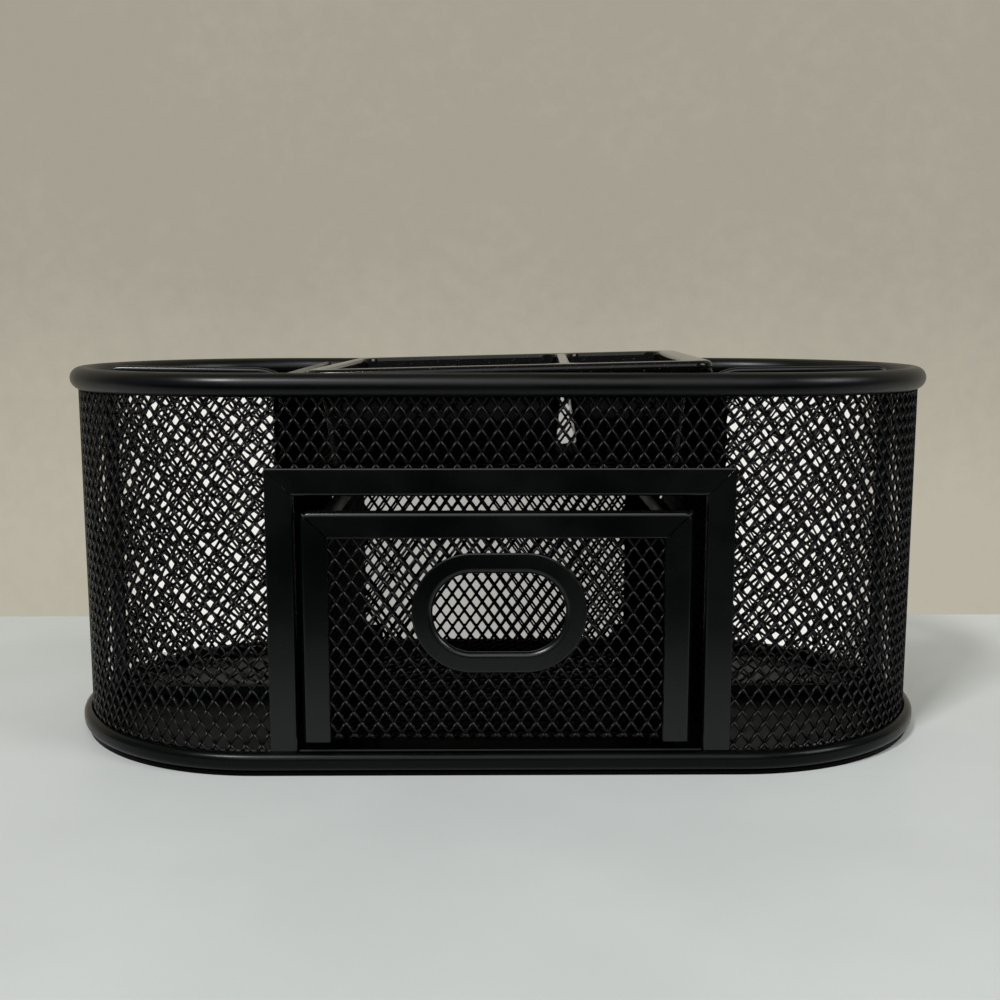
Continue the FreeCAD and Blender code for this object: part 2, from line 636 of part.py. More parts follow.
def divider_corners(side, inset):
    """Corners of a divider panel in the X-Z plane, drawn in by inset all round."""
    sign = "-" if side == "left" else ""
    inner = f"{BAY} + Sizes.crimp_gap + ({inset})"
    outer = f"{HALF_STRAIGHT} + {RIM_INSIDE} - Sizes.crimp_gap - ({inset})"
    foot = f"{FLOOR} + ({inset})"
    return [
        (f"{sign}({inner})", foot, f"{short_radius('divider_foot_corner', inset)}"),
        (f"{sign}({outer})", foot, f"{short_radius('divider_foot_corner', inset)}"),
        (f"{sign}({outer})", f"Sizes.rim_height - Sizes.divider_drop - ({inset})",
         short_radius("divider_outer_corner", inset)),
        (f"{sign}({inner})", f"{BAY_TOP} - ({inset})",
         short_radius("divider_inner_corner", inset)),
    ]


def short_radius(alias, inset):
    """A corner radius after the outline is drawn in, never under the strip's own thickness."""
    return f"max(Sizes.{alias} - ({inset}); Sizes.strip_sheet)"


def make_divider(side):
    """Upright mesh panel across an end compartment, and the folded strip round its edge."""
    half = "(Sizes.divider_thickness / 2)"
    frame = new_body(f"divider_frame_{side}")
    web = "Sizes.strip_sheet"

    def band(inset):
        def draw(sketch):
            outline(sketch, divider_corners(side, "0"))
            outline(sketch, divider_corners(side, inset))
        return draw

    pad_between(frame, band("Sizes.divider_strip"), "XZ_Plane", f"-{half}", f"{web} - {half}")
    pad_between(frame, band(web), "XZ_Plane", f"{web} - {half}", f"{half} - {web}")
    pad_between(frame, band("Sizes.divider_strip"), "XZ_Plane", f"{half} - {web}", half)

    panel = new_body(f"divider_mesh_{side}")
    tuck = "(Sizes.divider_strip - Sizes.divider_grip)"
    sketch = sketch_on(panel, "XZ_Plane")
    outline(sketch, divider_corners(side, tuck))
    pad(panel, sketch, "Sizes.mesh_sheet", both_ways=True)
    across = mirrored(side, f"{BAY} + Sizes.divider_strip",
                      f"{HALF_STRAIGHT} + {RIM_INSIDE} - Sizes.divider_strip")
    windows(panel, "XZ_Plane", "0", across,
            (f"{FLOOR} + Sizes.divider_strip", f"{BAY_TOP} - Sizes.divider_inner_corner / 2"),
            "2 * Sizes.mesh_sheet", both_ways=True)


# ---------------------------------------------------------------- the drawer

def make_drawer_pan():
    """One folded sheet of mesh: the front with its grip hole, the floor and the rear."""
    body = new_body("drawer_pan")
    half = f"({SIDE_MESH} - Sizes.mesh_sheet - Sizes.crimp_gap)"
    sheet, bend = "Sizes.mesh_sheet", "Sizes.drawer_bend"
    inner_bend = f"({bend} - {sheet})"
    rear = DRAWER_REAR
    head = f"({DRAWER_TOP} - Sizes.strip_sheet - Sizes.crimp_gap)"
    rear_head = f"({DRAWER_SIDE_TOP} - Sizes.strip_sheet - Sizes.crimp_gap)"

    fold = sketch_on(body, "YZ_Plane", DRAWER_MIDDLE)
    outline(fold, [
        (DRAWER_MESH, head), (DRAWER_MESH, DRAWER_FLOOR, bend), (rear, DRAWER_FLOOR, bend),
        (rear, rear_head), (f"({rear} - {sheet})", rear_head),
        (f"({rear} - {sheet})", f"({DRAWER_FLOOR} + {sheet})", inner_bend),
        (f"({DRAWER_MESH} + {sheet})", f"({DRAWER_FLOOR} + {sheet})", inner_bend),
        (f"({DRAWER_MESH} + {sheet})", head),
    ])
    pad(body, fold, f"2 * {half}", both_ways=True)

    wings = sketch_on(body, "XZ_Plane", f"-({DRAWER_MESH} + {sheet})")
    wing = f"({DRAWER_HALF} - Sizes.strip_sheet - Sizes.crimp_gap)"
    rectangle(wings, f"{DRAWER_MIDDLE} - {wing}", f"{DRAWER_MIDDLE} - {half} + {sheet}",
              DRAWER_FLOOR, head)
    rectangle(wings, f"{DRAWER_MIDDLE} + {half} - {sheet}", f"{DRAWER_MIDDLE} + {wing}",
              DRAWER_FLOOR, head)
    pad(body, wings, sheet)

    grip = sketch_on(body, "XZ_Plane", f"-({DRAWER_MESH} + {sheet})")
    rise = f"(Sizes.handle_height / 2 - Sizes.handle_band + Sizes.handle_sheet + Sizes.crimp_gap)"
    slot(grip, "((Sizes.handle_width - Sizes.handle_height) / 2)", rise, HANDLE_X,
         "Sizes.handle_middle")
    pocket(body, grip, f"2 * ({sheet} + Sizes.over_cut)", both_ways=True)

    through = f"2 * {sheet}"
    front, inside = f"-({DRAWER_MESH} + {sheet} / 2)", f"({DRAWER_HALF} - Sizes.drawer_strip)"
    ring_left, ring_right = (f"({HANDLE_X} {sign} Sizes.handle_width / 2)" for sign in "-+")
    above_bend = f"{DRAWER_FLOOR} + {bend}"
    heights = (above_bend, f"{DRAWER_TOP} - Sizes.drawer_strip")
    windows(body, "XZ_Plane", front, (f"{DRAWER_MIDDLE} - {inside}", ring_left), heights,
            through, both_ways=True)
    windows(body, "XZ_Plane", front, (ring_right, f"{DRAWER_MIDDLE} + {inside}"), heights,
            through, both_ways=True)
    windows(body, "XZ_Plane", front, (ring_left, ring_right),
            (above_bend, "Sizes.handle_middle - Sizes.handle_height / 2"), through,
            both_ways=True)
    windows(body, "XZ_Plane", f"-({rear} - {sheet} / 2)",
            (f"{DRAWER_MIDDLE} - {half}", f"{DRAWER_MIDDLE} + {half}"),
            (above_bend, f"{DRAWER_SIDE_TOP} - Sizes.hem_height"), through, both_ways=True)
    # The floor stays whole where the runners carry it.
    bare = f"({GUIDE} - Sizes.runner_shelf - Sizes.drawer_aside)"
    windows(body, "XY_Plane", f"{DRAWER_FLOOR} + {sheet} / 2",
            (f"{DRAWER_MIDDLE} - {bare}", f"{DRAWER_MIDDLE} + {bare}"),
            (f"{DRAWER_MESH} + {bend}", f"{rear} - {bend}"), through, both_ways=True)
    return body


def make_drawer_strips():
    """Three mitred channel strips that grip the edges of the drawer front."""
    face = f"(-{DRAWER_FACE})"
    leaf = f"({face} - Sizes.strip_sheet)"
    back = f"({leaf} - Sizes.mesh_sheet - 2 * Sizes.crimp_gap)"
    rear = f"({back} - Sizes.strip_sheet)"
    thick = "Sizes.strip_sheet"
    top, low = DRAWER_TOP, DRAWER_FLOOR
    above_bend = f"({low} + Sizes.drawer_bend)"
    inner_top = f"({top} - Sizes.drawer_strip)"

    for side, sign in (("left", "-"), ("right", "+")):
        edge = f"({DRAWER_MIDDLE} {sign} {DRAWER_HALF})"
        inner = f"({DRAWER_MIDDLE} {sign} ({DRAWER_HALF} - Sizes.drawer_strip))"
        web = f"({DRAWER_MIDDLE} {sign} ({DRAWER_HALF} - {thick}))"
        web_top = f"({top} - {thick})"

        def leaf_outline(sketch):
            outline(sketch, [(inner, low), (edge, low), (edge, top), (inner, inner_top)])

        def web_outline(sketch):
            outline(sketch, [(web, low), (edge, low), (edge, top), (web, web_top)])

        def rear_outline(sketch):
            outline(sketch, [(inner, above_bend), (edge, above_bend), (edge, top),
                             (inner, inner_top)])

        body = new_body(f"drawer_strip_{side}")
        pad_between(body, leaf_outline, "XZ_Plane", leaf, face)
        pad_between(body, web_outline, "XZ_Plane", back, leaf)
        pad_between(body, rear_outline, "XZ_Plane", rear, back)

    left = f"({DRAWER_MIDDLE} - {DRAWER_HALF})"
    right = f"({DRAWER_MIDDLE} + {DRAWER_HALF})"
    inner_left = f"({left} + Sizes.drawer_strip)"
    inner_right = f"({right} - Sizes.drawer_strip)"

    def bar_outline(sketch):
        outline(sketch, [(inner_left, inner_top), (inner_right, inner_top),
                         (right, top), (left, top)])

    def bar_web(sketch):
        outline(sketch, [(f"({left} + {thick})", f"({top} - {thick})"),
                         (f"({right} - {thick})", f"({top} - {thick})"),
                         (right, top), (left, top)])

    body = new_body("drawer_strip_top")
    pad_between(body, bar_outline, "XZ_Plane", leaf, face)
    pad_between(body, bar_web, "XZ_Plane", back, leaf)
    pad_between(body, bar_outline, "XZ_Plane", rear, back)


def make_drawer_side(side):
    """Upright mesh side of the drawer, standing on its floor."""
    sign = "-" if side == "left" else "+"
    outer = f"({DRAWER_MIDDLE} {sign} {SIDE_MESH})"
    inner = f"({DRAWER_MIDDLE} {sign} ({SIDE_MESH} - Sizes.mesh_sheet))"
    low, high = (outer, inner) if side == "left" else (inner, outer)
    head = f"({DRAWER_SIDE_TOP} - Sizes.strip_sheet - Sizes.crimp_gap)"
    body = new_body(f"drawer_side_{side}")

    def face(sketch):
        rectangle(sketch, DRAWER_SIDE_FRONT, DRAWER_REAR, DRAWER_FLOOR, head)

    pad_between(body, face, "YZ_Plane", low, high)
    windows(body, "YZ_Plane", f"({low} + {high}) / 2", (DRAWER_SIDE_FRONT, DRAWER_REAR),
            (f"{DRAWER_FLOOR} + Sizes.drawer_bend", f"{DRAWER_SIDE_TOP} - Sizes.hem_height"),
            "2 * Sizes.mesh_sheet", both_ways=True)
    return body


def make_drawer_hem(side):
    """Folded strip over the top of a drawer side."""
    sign = "-" if side == "left" else "+"
    ends = [f"({DRAWER_MIDDLE} {sign} {SIDE_HEM_IN})", f"({DRAWER_MIDDLE} {sign} {SIDE_HEM_OUT})"]
    hollow = [f"({DRAWER_MIDDLE} {sign} ({SIDE_HEM_IN} + {SIDE_HEM_WALL}))",
              f"({DRAWER_MIDDLE} {sign} ({SIDE_HEM_OUT} - {SIDE_HEM_WALL}))"]
    if side == "left":
        ends.reverse()
        hollow.reverse()
    rear = f"({DRAWER_REAR} - Sizes.mesh_sheet - Sizes.crimp_gap)"
    top, low = DRAWER_SIDE_TOP, f"({DRAWER_SIDE_TOP} - Sizes.hem_height)"
    strip = block(f"drawer_hem_{side}_strip", ends, (DRAWER_SIDE_FRONT, rear), (low, top))
    groove = block(f"drawer_hem_{side}_groove", hollow,
                   (f"{DRAWER_SIDE_FRONT} - Sizes.over_cut", f"{rear} + Sizes.over_cut"),
                   (f"{low} - Sizes.over_cut", f"{top} - Sizes.strip_sheet"))
    return cut(f"drawer_hem_{side}", strip, groove)


def make_drawer_rear_hem():
    """Folded strip over the top of the drawer's rear, between the side hems."""
    half = f"({SIDE_HEM_IN} - Sizes.crimp_gap)"
    middle = f"({DRAWER_REAR} - Sizes.mesh_sheet / 2)"
    top, low = DRAWER_SIDE_TOP, f"({DRAWER_SIDE_TOP} - Sizes.hem_height)"
    across = (f"{DRAWER_MIDDLE} - {half}", f"{DRAWER_MIDDLE} + {half}")
    strip = block("drawer_rear_hem_strip", across,
                  (f"{middle} - Sizes.drawer_hem / 2", f"{middle} + Sizes.drawer_hem / 2"),
                  (low, top))
    groove = block("drawer_rear_hem_groove",
                   (f"{across[0]} - Sizes.over_cut", f"{across[1]} + Sizes.over_cut"),
                   (f"{middle} - Sizes.drawer_hem / 2 + {SIDE_HEM_WALL}",
                    f"{middle} + Sizes.drawer_hem / 2 - {SIDE_HEM_WALL}"),
                   (f"{low} - Sizes.over_cut", f"{top} - Sizes.strip_sheet"))
    return cut("drawer_rear_hem", strip, groove)


def make_drawer_handle():
    """Grip ring through the drawer front: a flange before the mesh, a throat and a flange behind."""
    body = new_body("drawer_handle")
    run = "((Sizes.handle_width - Sizes.handle_height) / 2)"
    outer = "(Sizes.handle_height / 2)"
    throat = f"({outer} - Sizes.handle_band)"
    thick = "Sizes.handle_sheet"
    mesh_front = f"(-{DRAWER_MESH} + Sizes.crimp_gap)"
    mesh_back = f"(-({DRAWER_MESH} + Sizes.mesh_sheet) - Sizes.crimp_gap)"

    def ring(radius):
        def draw(sketch):
            slot(sketch, run, radius, HANDLE_X, "Sizes.handle_middle")
            slot(sketch, run, throat, HANDLE_X, "Sizes.handle_middle")
        return draw

    pad_between(body, ring(f"{throat} + {thick}"), "XZ_Plane",
                f"{mesh_back} - {thick}", f"{mesh_front} + {thick}")
    pad_between(body, ring(outer), "XZ_Plane", mesh_front, f"{mesh_front} + {thick}")
    pad_between(body, ring(f"{throat} + Sizes.handle_rear_band"), "XZ_Plane",
                f"{mesh_back} - {thick}", mesh_back)
    face = -value(f"{mesh_front} + {thick}")

    def on_face(edge):
        box = edge.BoundBox
        return abs(box.YMin - face) < TOUCHING and abs(box.YMax - face) < TOUCHING

    round_edges(body, "Sizes.handle_edge", on_face)
    return body


# ---------------------------------------------------------------- the tray

def tray_bins():
    """X ranges of the two bins at the top of the tray."""
    return ((f"(Sizes.tray_left_strip - {TRAY_HALF})",
             "(Sizes.tray_split - Sizes.tray_split_strip / 2)"),
            ("(Sizes.tray_split + Sizes.tray_split_strip / 2)",
             f"({TRAY_HALF} - Sizes.tray_end_strip)"))


def make_tray():
    """Moulded tray: a flange with a skirt round it and two bins with leaning walls.

    It stands in the bay as it was dropped in: turned a little, with the lower left edge of the
    big bin on the bay's roof and the right-hand skirt on the hem of the right side panel.
    """
    body = new_body("small_parts_tray")
    wide, deep = TRAY_HALF, TRAY_HALF_DEPTH
    wall, skirt, corner = "Sizes.tray_wall", "Sizes.tray_skirt", "Sizes.tray_corner"
    bin_deep = f"({deep} - Sizes.tray_side_strip)"

    flange = sketch_on(body, "XY_Plane", f"-{skirt}")
    rectangle(flange, f"-{wide}", wide, f"-{deep}", deep, corner)
    pad(body, flange, skirt)
    under = sketch_on(body, "XY_Plane", f"-{skirt}")
    rectangle(under, f"{wall} - {wide}", f"{wide} - {wall}", f"{wall} - {deep}",
              f"{deep} - {wall}", f"{corner} - {wall}")
    pocket(body, under, f"{skirt} - {wall}", backwards=True)

    def section(left, right, height, inset):
        sketch = sketch_on(body, "XY_Plane", height)
        rectangle(sketch, f"{left} + ({inset})", f"{right} - ({inset})",
                  f"({inset}) - {bin_deep}", f"{bin_deep} - ({inset})", corner)
        return sketch

    for left, right in tray_bins():
        grow = "(-Sizes.tray_wall)"
        loft = body.newObject("PartDesign::AdditiveLoft", "tray_bin")
        loft.Profile = section(left, right, f"-{wall}", grow)
        loft.Sections = [section(left, right, f"-{TRAY_HEIGHT}",
                                 "Sizes.tray_draft - Sizes.tray_wall")]
    DOC.recompute()
    solid = body.Shape.Volume
    for left, right in tray_bins():
        loft = body.newObject("PartDesign::SubtractiveLoft", "tray_hollow")
        loft.Profile = section(left, right, "0", "0")
        loft.Sections = [section(left, right, f"{wall} - {TRAY_HEIGHT}", "Sizes.tray_draft")]
    DOC.recompute()
    if body.Shape.Volume >= solid:
        raise RuntimeError("the bins of the tray are not hollow")

    left_of_bins = value(tray_bins()[0][0]) - TOUCHING
    right_of_bins = value(tray_bins()[1][1]) + TOUCHING

    def outer_top(edge):
        box = edge.BoundBox
        level = abs(box.ZMin) < TOUCHING and abs(box.ZMax) < TOUCHING
        return level and (box.XMax > right_of_bins or box.XMin < left_of_bins
                          or abs(abs(box.YMin) - value(deep)) < TOUCHING)

    round_edges(body, "Sizes.tray_edge", outer_top)
    seat_tray(body)
    return body


def seat_tray(body):
    """Tilt the tray until its left bin meets the roof and its right skirt the side panel."""
    roof = value(f"{ROOF} + Sizes.seat_gap")
    hem = value(f"{BAY_TOP} + Sizes.seat_gap")
    low_corner = (value(f"{tray_bins()[0][0]} + Sizes.tray_draft - Sizes.tray_wall"),
                  -value(TRAY_HEIGHT))
    rest_corner = (value(TRAY_HALF), -value("Sizes.tray_skirt"))
    run = rest_corner[0] - low_corner[0]
    rise = rest_corner[1] - low_corner[1]
    reach = math.hypot(run, rise)
    tilt = math.asin((hem - roof) / reach) - math.atan2(rise, run)
    height = roof - (low_corner[0] * math.sin(tilt) + low_corner[1] * math.cos(tilt))
    turn = FreeCAD.Rotation(UP, value("Sizes.tray_yaw"))
    lean = FreeCAD.Rotation(Vector(0, 1, 0), -math.degrees(tilt))
    body.Placement = FreeCAD.Placement(
        Vector(value(f"{HEM} + Sizes.tray_lap - {TRAY_HALF}"), value("Sizes.tray_rearward"), height),
        turn.multiply(lean))


# ---------------------------------------------------------------- build and export

def make_everything():
    make_base_pan()
    make_base_ring()
    make_top_rim()
    make_wall_mesh()
    make_surround()
    make_bay_roof()
    make_drawer_pan()
    make_drawer_strips()
    make_drawer_rear_hem()
    make_drawer_handle()
    for side in ("left", "right"):
        make_bay_side(side)
        make_bay_hem(side)
        make_runner(side)
        make_divider(side)
        make_drawer_side(side)
        make_drawer_hem(side)
    make_tray()


def sub_parts():
    """The finished pieces: whatever no other object is made from."""
    used = set()
    for item in DOC.Objects:
        if item.TypeId == "Part::Cut":
            used.update((item.Base.Name, item.Tool.Name))
    kinds = ("PartDesign::Body", "Part::Cut", "Part::Box")
    return [item for item in DOC.Objects if item.TypeId in kinds and item.Name not in used]


def main():
    fill_sheet()
    make_everything()
    DOC.recompute()
    for item in DOC.Objects:
        if "Invalid" in item.State or "Error" in item.State:
            raise RuntimeError(f"{item.Name} failed: {item.State}")
    os.makedirs("parts", exist_ok=True)
    for item in sub_parts():
        shape = item.Shape
        if shape.isNull() or not shape.isValid() or not shape.Solids:
            raise RuntimeError(f"{item.Label} has no sound shape")
        shape.exportStep(os.path.join("parts", f"{item.Label}.step"))
        print(f"{item.Label}: {len(shape.Solids)} solid, {shape.Volume:.0f} mm3")


main()
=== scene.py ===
"""Pen stand with drawer: the visible model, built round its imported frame.

The stand is an oval of expanded steel mesh between a rolled rim and a rolled base ring. A mesh
drawer slides in the framed opening of its front, each end compartment has a mesh divider, and a
loose glossy tray lies in the middle bay. Lengths are in metres, +Z is up and the drawer opens
towards -Y.
"""
import logging
import math
from collections.abc import Callable, Sequence
from dataclasses import dataclass, field
from enum import Enum

import bmesh
import bpy
from mathutils import Euler, Matrix, Vector


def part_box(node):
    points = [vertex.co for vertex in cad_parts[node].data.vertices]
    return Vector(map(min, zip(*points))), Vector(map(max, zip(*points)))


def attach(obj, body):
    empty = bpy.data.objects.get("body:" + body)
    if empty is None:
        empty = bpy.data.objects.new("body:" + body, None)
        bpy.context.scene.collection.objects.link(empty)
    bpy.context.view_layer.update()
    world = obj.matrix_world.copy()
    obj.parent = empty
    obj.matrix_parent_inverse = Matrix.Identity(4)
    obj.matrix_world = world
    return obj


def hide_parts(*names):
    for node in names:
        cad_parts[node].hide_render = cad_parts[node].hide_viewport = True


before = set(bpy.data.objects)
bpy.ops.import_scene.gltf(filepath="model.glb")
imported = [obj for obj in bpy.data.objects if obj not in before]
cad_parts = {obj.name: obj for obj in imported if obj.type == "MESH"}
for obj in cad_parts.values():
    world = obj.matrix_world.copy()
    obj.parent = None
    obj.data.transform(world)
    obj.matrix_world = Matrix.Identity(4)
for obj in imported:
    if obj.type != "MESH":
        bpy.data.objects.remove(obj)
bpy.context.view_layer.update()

LOG = logging.getLogger("pen_stand")
MM = 0.001
QUARTER = math.pi / 2
X_AXIS, Y_AXIS, Z_AXIS = Vector((1, 0, 0)), Vector((0, 1, 0)), Vector((0, 0, 1))
MESH_SHEET = 0.7 * MM
STRIP_SHEET = 0.6 * MM
SHORTEST = 0.15 * MM
HEM_ROUNDNESS = 0.98

Point2 = tuple[float, float]
Point3 = tuple[float, float, float]


class Body(Enum):
    """The bodies that pieces ride on."""

    STAND = "stand"
    DRAWER = "drawer"
    TRAY = "tray"


class Slot(Enum):
    """The record's material slots that the pieces built here are made of."""

    MESH = "mesh_steel"
    STRIP = "strip_steel"
    TRAY = "tray_plastic"


class Side(Enum):
    """Left or right, seen from the drawer's side; the value is the sign of X."""

    LEFT = -1
    RIGHT = 1

    @property
    def word(self) -> str:
        """The side's name as the nodes spell it."""
        return self.name.lower()


# ------------------------------------------------------------------ node trees

class Wire:
    """One socket of a node tree, with arithmetic written as Python expressions."""

    def __init__(self, graph: "Graph", socket: bpy.types.NodeSocket) -> None:
        """Wrap a socket.

        Args:
            graph: The tree that the socket belongs to.
            socket: An output socket.
        """
        self.graph = graph
        self.socket = socket

    def math(self, operation: str, *others: "Wire | float", first: bool = True) -> "Wire":
        """Add a Math node.

        Args:
            operation: The node's operation, such as "ADD".
            others: The other operands.
            first: Whether this wire is the first operand; it is the second if not.

        Returns:
            The node's result.
        """
        operands = [self, *others] if first else [*others, self]
        return self.graph.add("ShaderNodeMath", {"operation": operation}, dict(enumerate(operands)))

    def __add__(self, other: "Wire | float") -> "Wire":
        """Sum."""
        return self.math("ADD", other)

    __radd__ = __add__

    def __sub__(self, other: "Wire | float") -> "Wire":
        """Difference."""
        return self.math("SUBTRACT", other)

    def __rsub__(self, other: float) -> "Wire":
        """Difference, with a number first."""
        return self.math("SUBTRACT", other, first=False)

    def __mul__(self, other: "Wire | float") -> "Wire":
        """Product."""
        return self.math("MULTIPLY", other)

    __rmul__ = __mul__

    def __truediv__(self, other: "Wire | float") -> "Wire":
        """Quotient."""
        return self.math("DIVIDE", other)

    def __mod__(self, other: float) -> "Wire":
        """Remainder that is never negative."""
        return self.math("FLOORED_MODULO", other)

    def __abs__(self) -> "Wire":
        """Absolute value."""
        return self.math("ABSOLUTE")

    def __gt__(self, other: "Wire | float") -> "Wire":
        """1 where this wire is greater, else 0."""
        return self.math("GREATER_THAN", other)

    def __lt__(self, other: "Wire | float") -> "Wire":
        """1 where this wire is less, else 0."""
        return self.math("LESS_THAN", other)

    def larger(self, other: "Wire | float") -> "Wire":
        """The larger of two values."""
        return self.math("MAXIMUM", other)

    def smaller(self, other: "Wire | float") -> "Wire":
        """The smaller of two values."""
        return self.math("MINIMUM", other)

    def floor(self) -> "Wire":
        """The next whole number down."""
        return self.math("FLOOR")

    def rounded(self) -> "Wire":
        """The nearest whole number."""
        return self.math("ROUND")

    def ramp(self, low: float, high: float, to_low: float = 0.0, to_high: float = 1.0) -> "Wire":
        """Map a range to another smoothly, and hold the ends.

        Args:
            low: Value that gives to_low.
            high: Value that gives to_high.
            to_low: Result at and below low.
            to_high: Result at and above high.

        Returns:
            The mapped value.
        """
        return self.graph.add("ShaderNodeMapRange",
                              {"interpolation_type": "SMOOTHSTEP", "clamp": True},
                              {0: self, 1: low, 2: high, 3: to_low, 4: to_high})


class Graph:
    """A node tree that is being built."""

    def __init__(self, tree: bpy.types.NodeTree) -> None:
        """Wrap a node tree."""
        self.tree = tree

    def node(self, kind: str, settings: dict[str, object] | None = None,
             values: dict[int | str, object] | None = None) -> bpy.types.Node:
        """Add a node.

        Args:
            kind: The node's type name.
            settings: Properties of the node, set before its sockets.
            values: Links or plain values for its inputs, by name or number.

        Returns:
            The node.
        """
        node = self.tree.nodes.new(kind)
        for name, setting in (settings or {}).items():
            setattr(node, name, setting)
        for key, value in (values or {}).items():
            self.feed(node.inputs[key], value)
        return node

    def feed(self, socket: bpy.types.NodeSocket, value: object) -> None:
        """Link a wire to an input, or set its plain value.

        Args:
            socket: The input.
            value: A wire or a plain value.
        """
        if isinstance(value, Wire):
            self.tree.links.new(value.socket, socket)
        else:
            socket.default_value = value

    def out(self, node: bpy.types.Node, key: int | str = 0) -> Wire:
        """An output of a node as a wire."""
        return Wire(self, node.outputs[key])

    def add(self, kind: str, settings: dict[str, object] | None = None,
            values: dict[int | str, object] | None = None, key: int | str = 0) -> Wire:
        """Add a node and give one of its outputs; the arguments are those of node and out."""
        return self.out(self.node(kind, settings, values), key)

    def vector(self, operation: str, *operands: object, key: int | str = 0) -> Wire:
        """Add a Vector Math node.

        Args:
            operation: The node's operation.
            operands: Links or vectors; a SCALE takes its factor last.
            key: The output wanted.

        Returns:
            The node's result.
        """
        values: dict[int | str, object] = dict(enumerate(operands))
        if operation == "SCALE":
            values = {0: operands[0], "Scale": operands[1]}
        return self.add("ShaderNodeVectorMath", {"operation": operation}, values, key)

    def combine(self, x: object, y: object, z: object = 0.0) -> Wire:
        """A vector from three values."""
        return self.add("ShaderNodeCombineXYZ", values={0: x, 1: y, 2: z})

    def split(self, vector: Wire) -> tuple[Wire, Wire, Wire]:
        """The three values of a vector."""
        node = self.node("ShaderNodeSeparateXYZ", values={0: vector})
        return self.out(node, 0), self.out(node, 1), self.out(node, 2)

    def mix_shaders(self, factor: Wire, low: Wire, high: Wire) -> Wire:
        """The shader low where the factor is 0, and high where it is 1."""
        return self.add("ShaderNodeMixShader", values={0: factor, 1: low, 2: high})

    def close(self, surface: Wire, kind: str = "Material") -> None:
        """End a material's or a world's tree with its surface."""
        self.node(f"ShaderNodeOutput{kind}", values={"Surface": surface})


# ------------------------------------------------------------------ finishes

def blank_material(name: str) -> tuple[bpy.types.Material, Graph, Wire]:
    """Start a procedural material.

    Args:
        name: The material's name.

    Returns:
        The material, its empty graph and the object's own coordinates.
    """
    material = bpy.data.materials.new(name)
    material.use_nodes = True
    material.node_tree.nodes.clear()
    graph = Graph(material.node_tree)
    return material, graph, graph.add("ShaderNodeTexCoord", key="Object")


def noise(graph: Graph, place: Wire, size: float, detail: float = 2.0, rough: float = 0.5) -> Wire:
    """Noise from 0 to 1 whose features are about size metres across.

    Args:
        graph: The material's graph.
        place: The coordinates that it reads.
        size: Size of its features, in metres.
        detail: Octaves of finer noise.
        rough: Strength of the finer octaves.

    Returns:
        The noise.
    """
    return graph.add("ShaderNodeTexNoise", {"noise_dimensions": "3D"},
                     {"Vector": place, "Scale": 1 / size, "Detail": detail, "Roughness": rough})


def blend_colours(graph: Graph, factor: Wire, low: Wire | Sequence[float],
                  high: Wire | Sequence[float]) -> Wire:
    """Mix two colours by a factor.

    Args:
        graph: The material's graph.
        factor: 0 gives low, 1 gives high.
        low: A linked colour, or red, green and blue.
        high: The other colour.

    Returns:
        The mixed colour.
    """
    ends = [end if isinstance(end, Wire) else (*end, 1.0) for end in (low, high)]
    node = graph.node("ShaderNodeMix", {"data_type": "RGBA"},
                      {"Factor": factor, "A": ends[0], "B": ends[1]})
    return graph.out(node, "Result")


def relief(graph: Graph, height: Wire, depth: float) -> Wire:
    """A bumped normal from a height between 0 and 1 and its depth in metres."""
    return graph.add("ShaderNodeBump", values={
        "Strength": 1.0, "Distance": depth, "Height": height}, key="Normal")


@dataclass(frozen=True)
class Finish:
    """What every finish has, and how its material is put together."""

    name: str
    colour: Point3
    dust_colour: Point3
    roughness: float

    def surface(self, graph: Graph, place: Wire) -> dict[int | str, object]:
        """The principled shader's values, which each kind of finish gives."""
        raise NotImplementedError

    def material(self) -> bpy.types.Material:
        """Build the material, or give the one that was built before.

        Returns:
            The material.
        """
        known = bpy.data.materials.get(self.name)
        if known:
            return known
        material, graph, place = blank_material(self.name)
        values = self.surface(graph, place)
        graph.close(graph.add("ShaderNodeBsdfPrincipled", values=values, key="BSDF"))
        return material


@dataclass(frozen=True)
class PowderCoat(Finish):
    """Baked powder coat on steel: fine orange peel, faint cloudiness, dust and a few scuffs."""

    peel_size: float
    peel_height: float
    dust: float
    scuffs: float
    gloss: float = 0.12

    def surface(self, graph: Graph, place: Wire) -> dict[int | str, object]:
        """The shader's values.

        Args:
            graph: The material's graph.
            place: The object's own coordinates.

        Returns:
            Links and plain values by the socket's name.
        """
        cloud = noise(graph, place, 22 * MM, detail=3.0)
        specks = noise(graph, place, 0.55 * MM, detail=1.0).ramp(0.66, 0.74)
        patches = noise(graph, place, 9 * MM, detail=2.0).ramp(0.45, 0.7)
        dust = specks * patches * self.dust
        streaks = graph.vector("MULTIPLY", place, (1.0, 6.0, 6.0))
        scuff = noise(graph, streaks, 3.2 * MM, detail=4.0, rough=0.7).ramp(0.68, 0.8) * self.scuffs
        peel = noise(graph, place, self.peel_size, detail=2.0)
        return {
            "Base Color": blend_colours(graph, (dust + scuff).smaller(1.0), self.colour,
                                        self.dust_colour),
            "Roughness": cloud.ramp(0.3, 0.7, self.roughness - 0.05, self.roughness + 0.06)
            + scuff * 0.15,
            "Specular IOR Level": self.gloss,
            "Normal": relief(graph, peel, self.peel_height),
        }


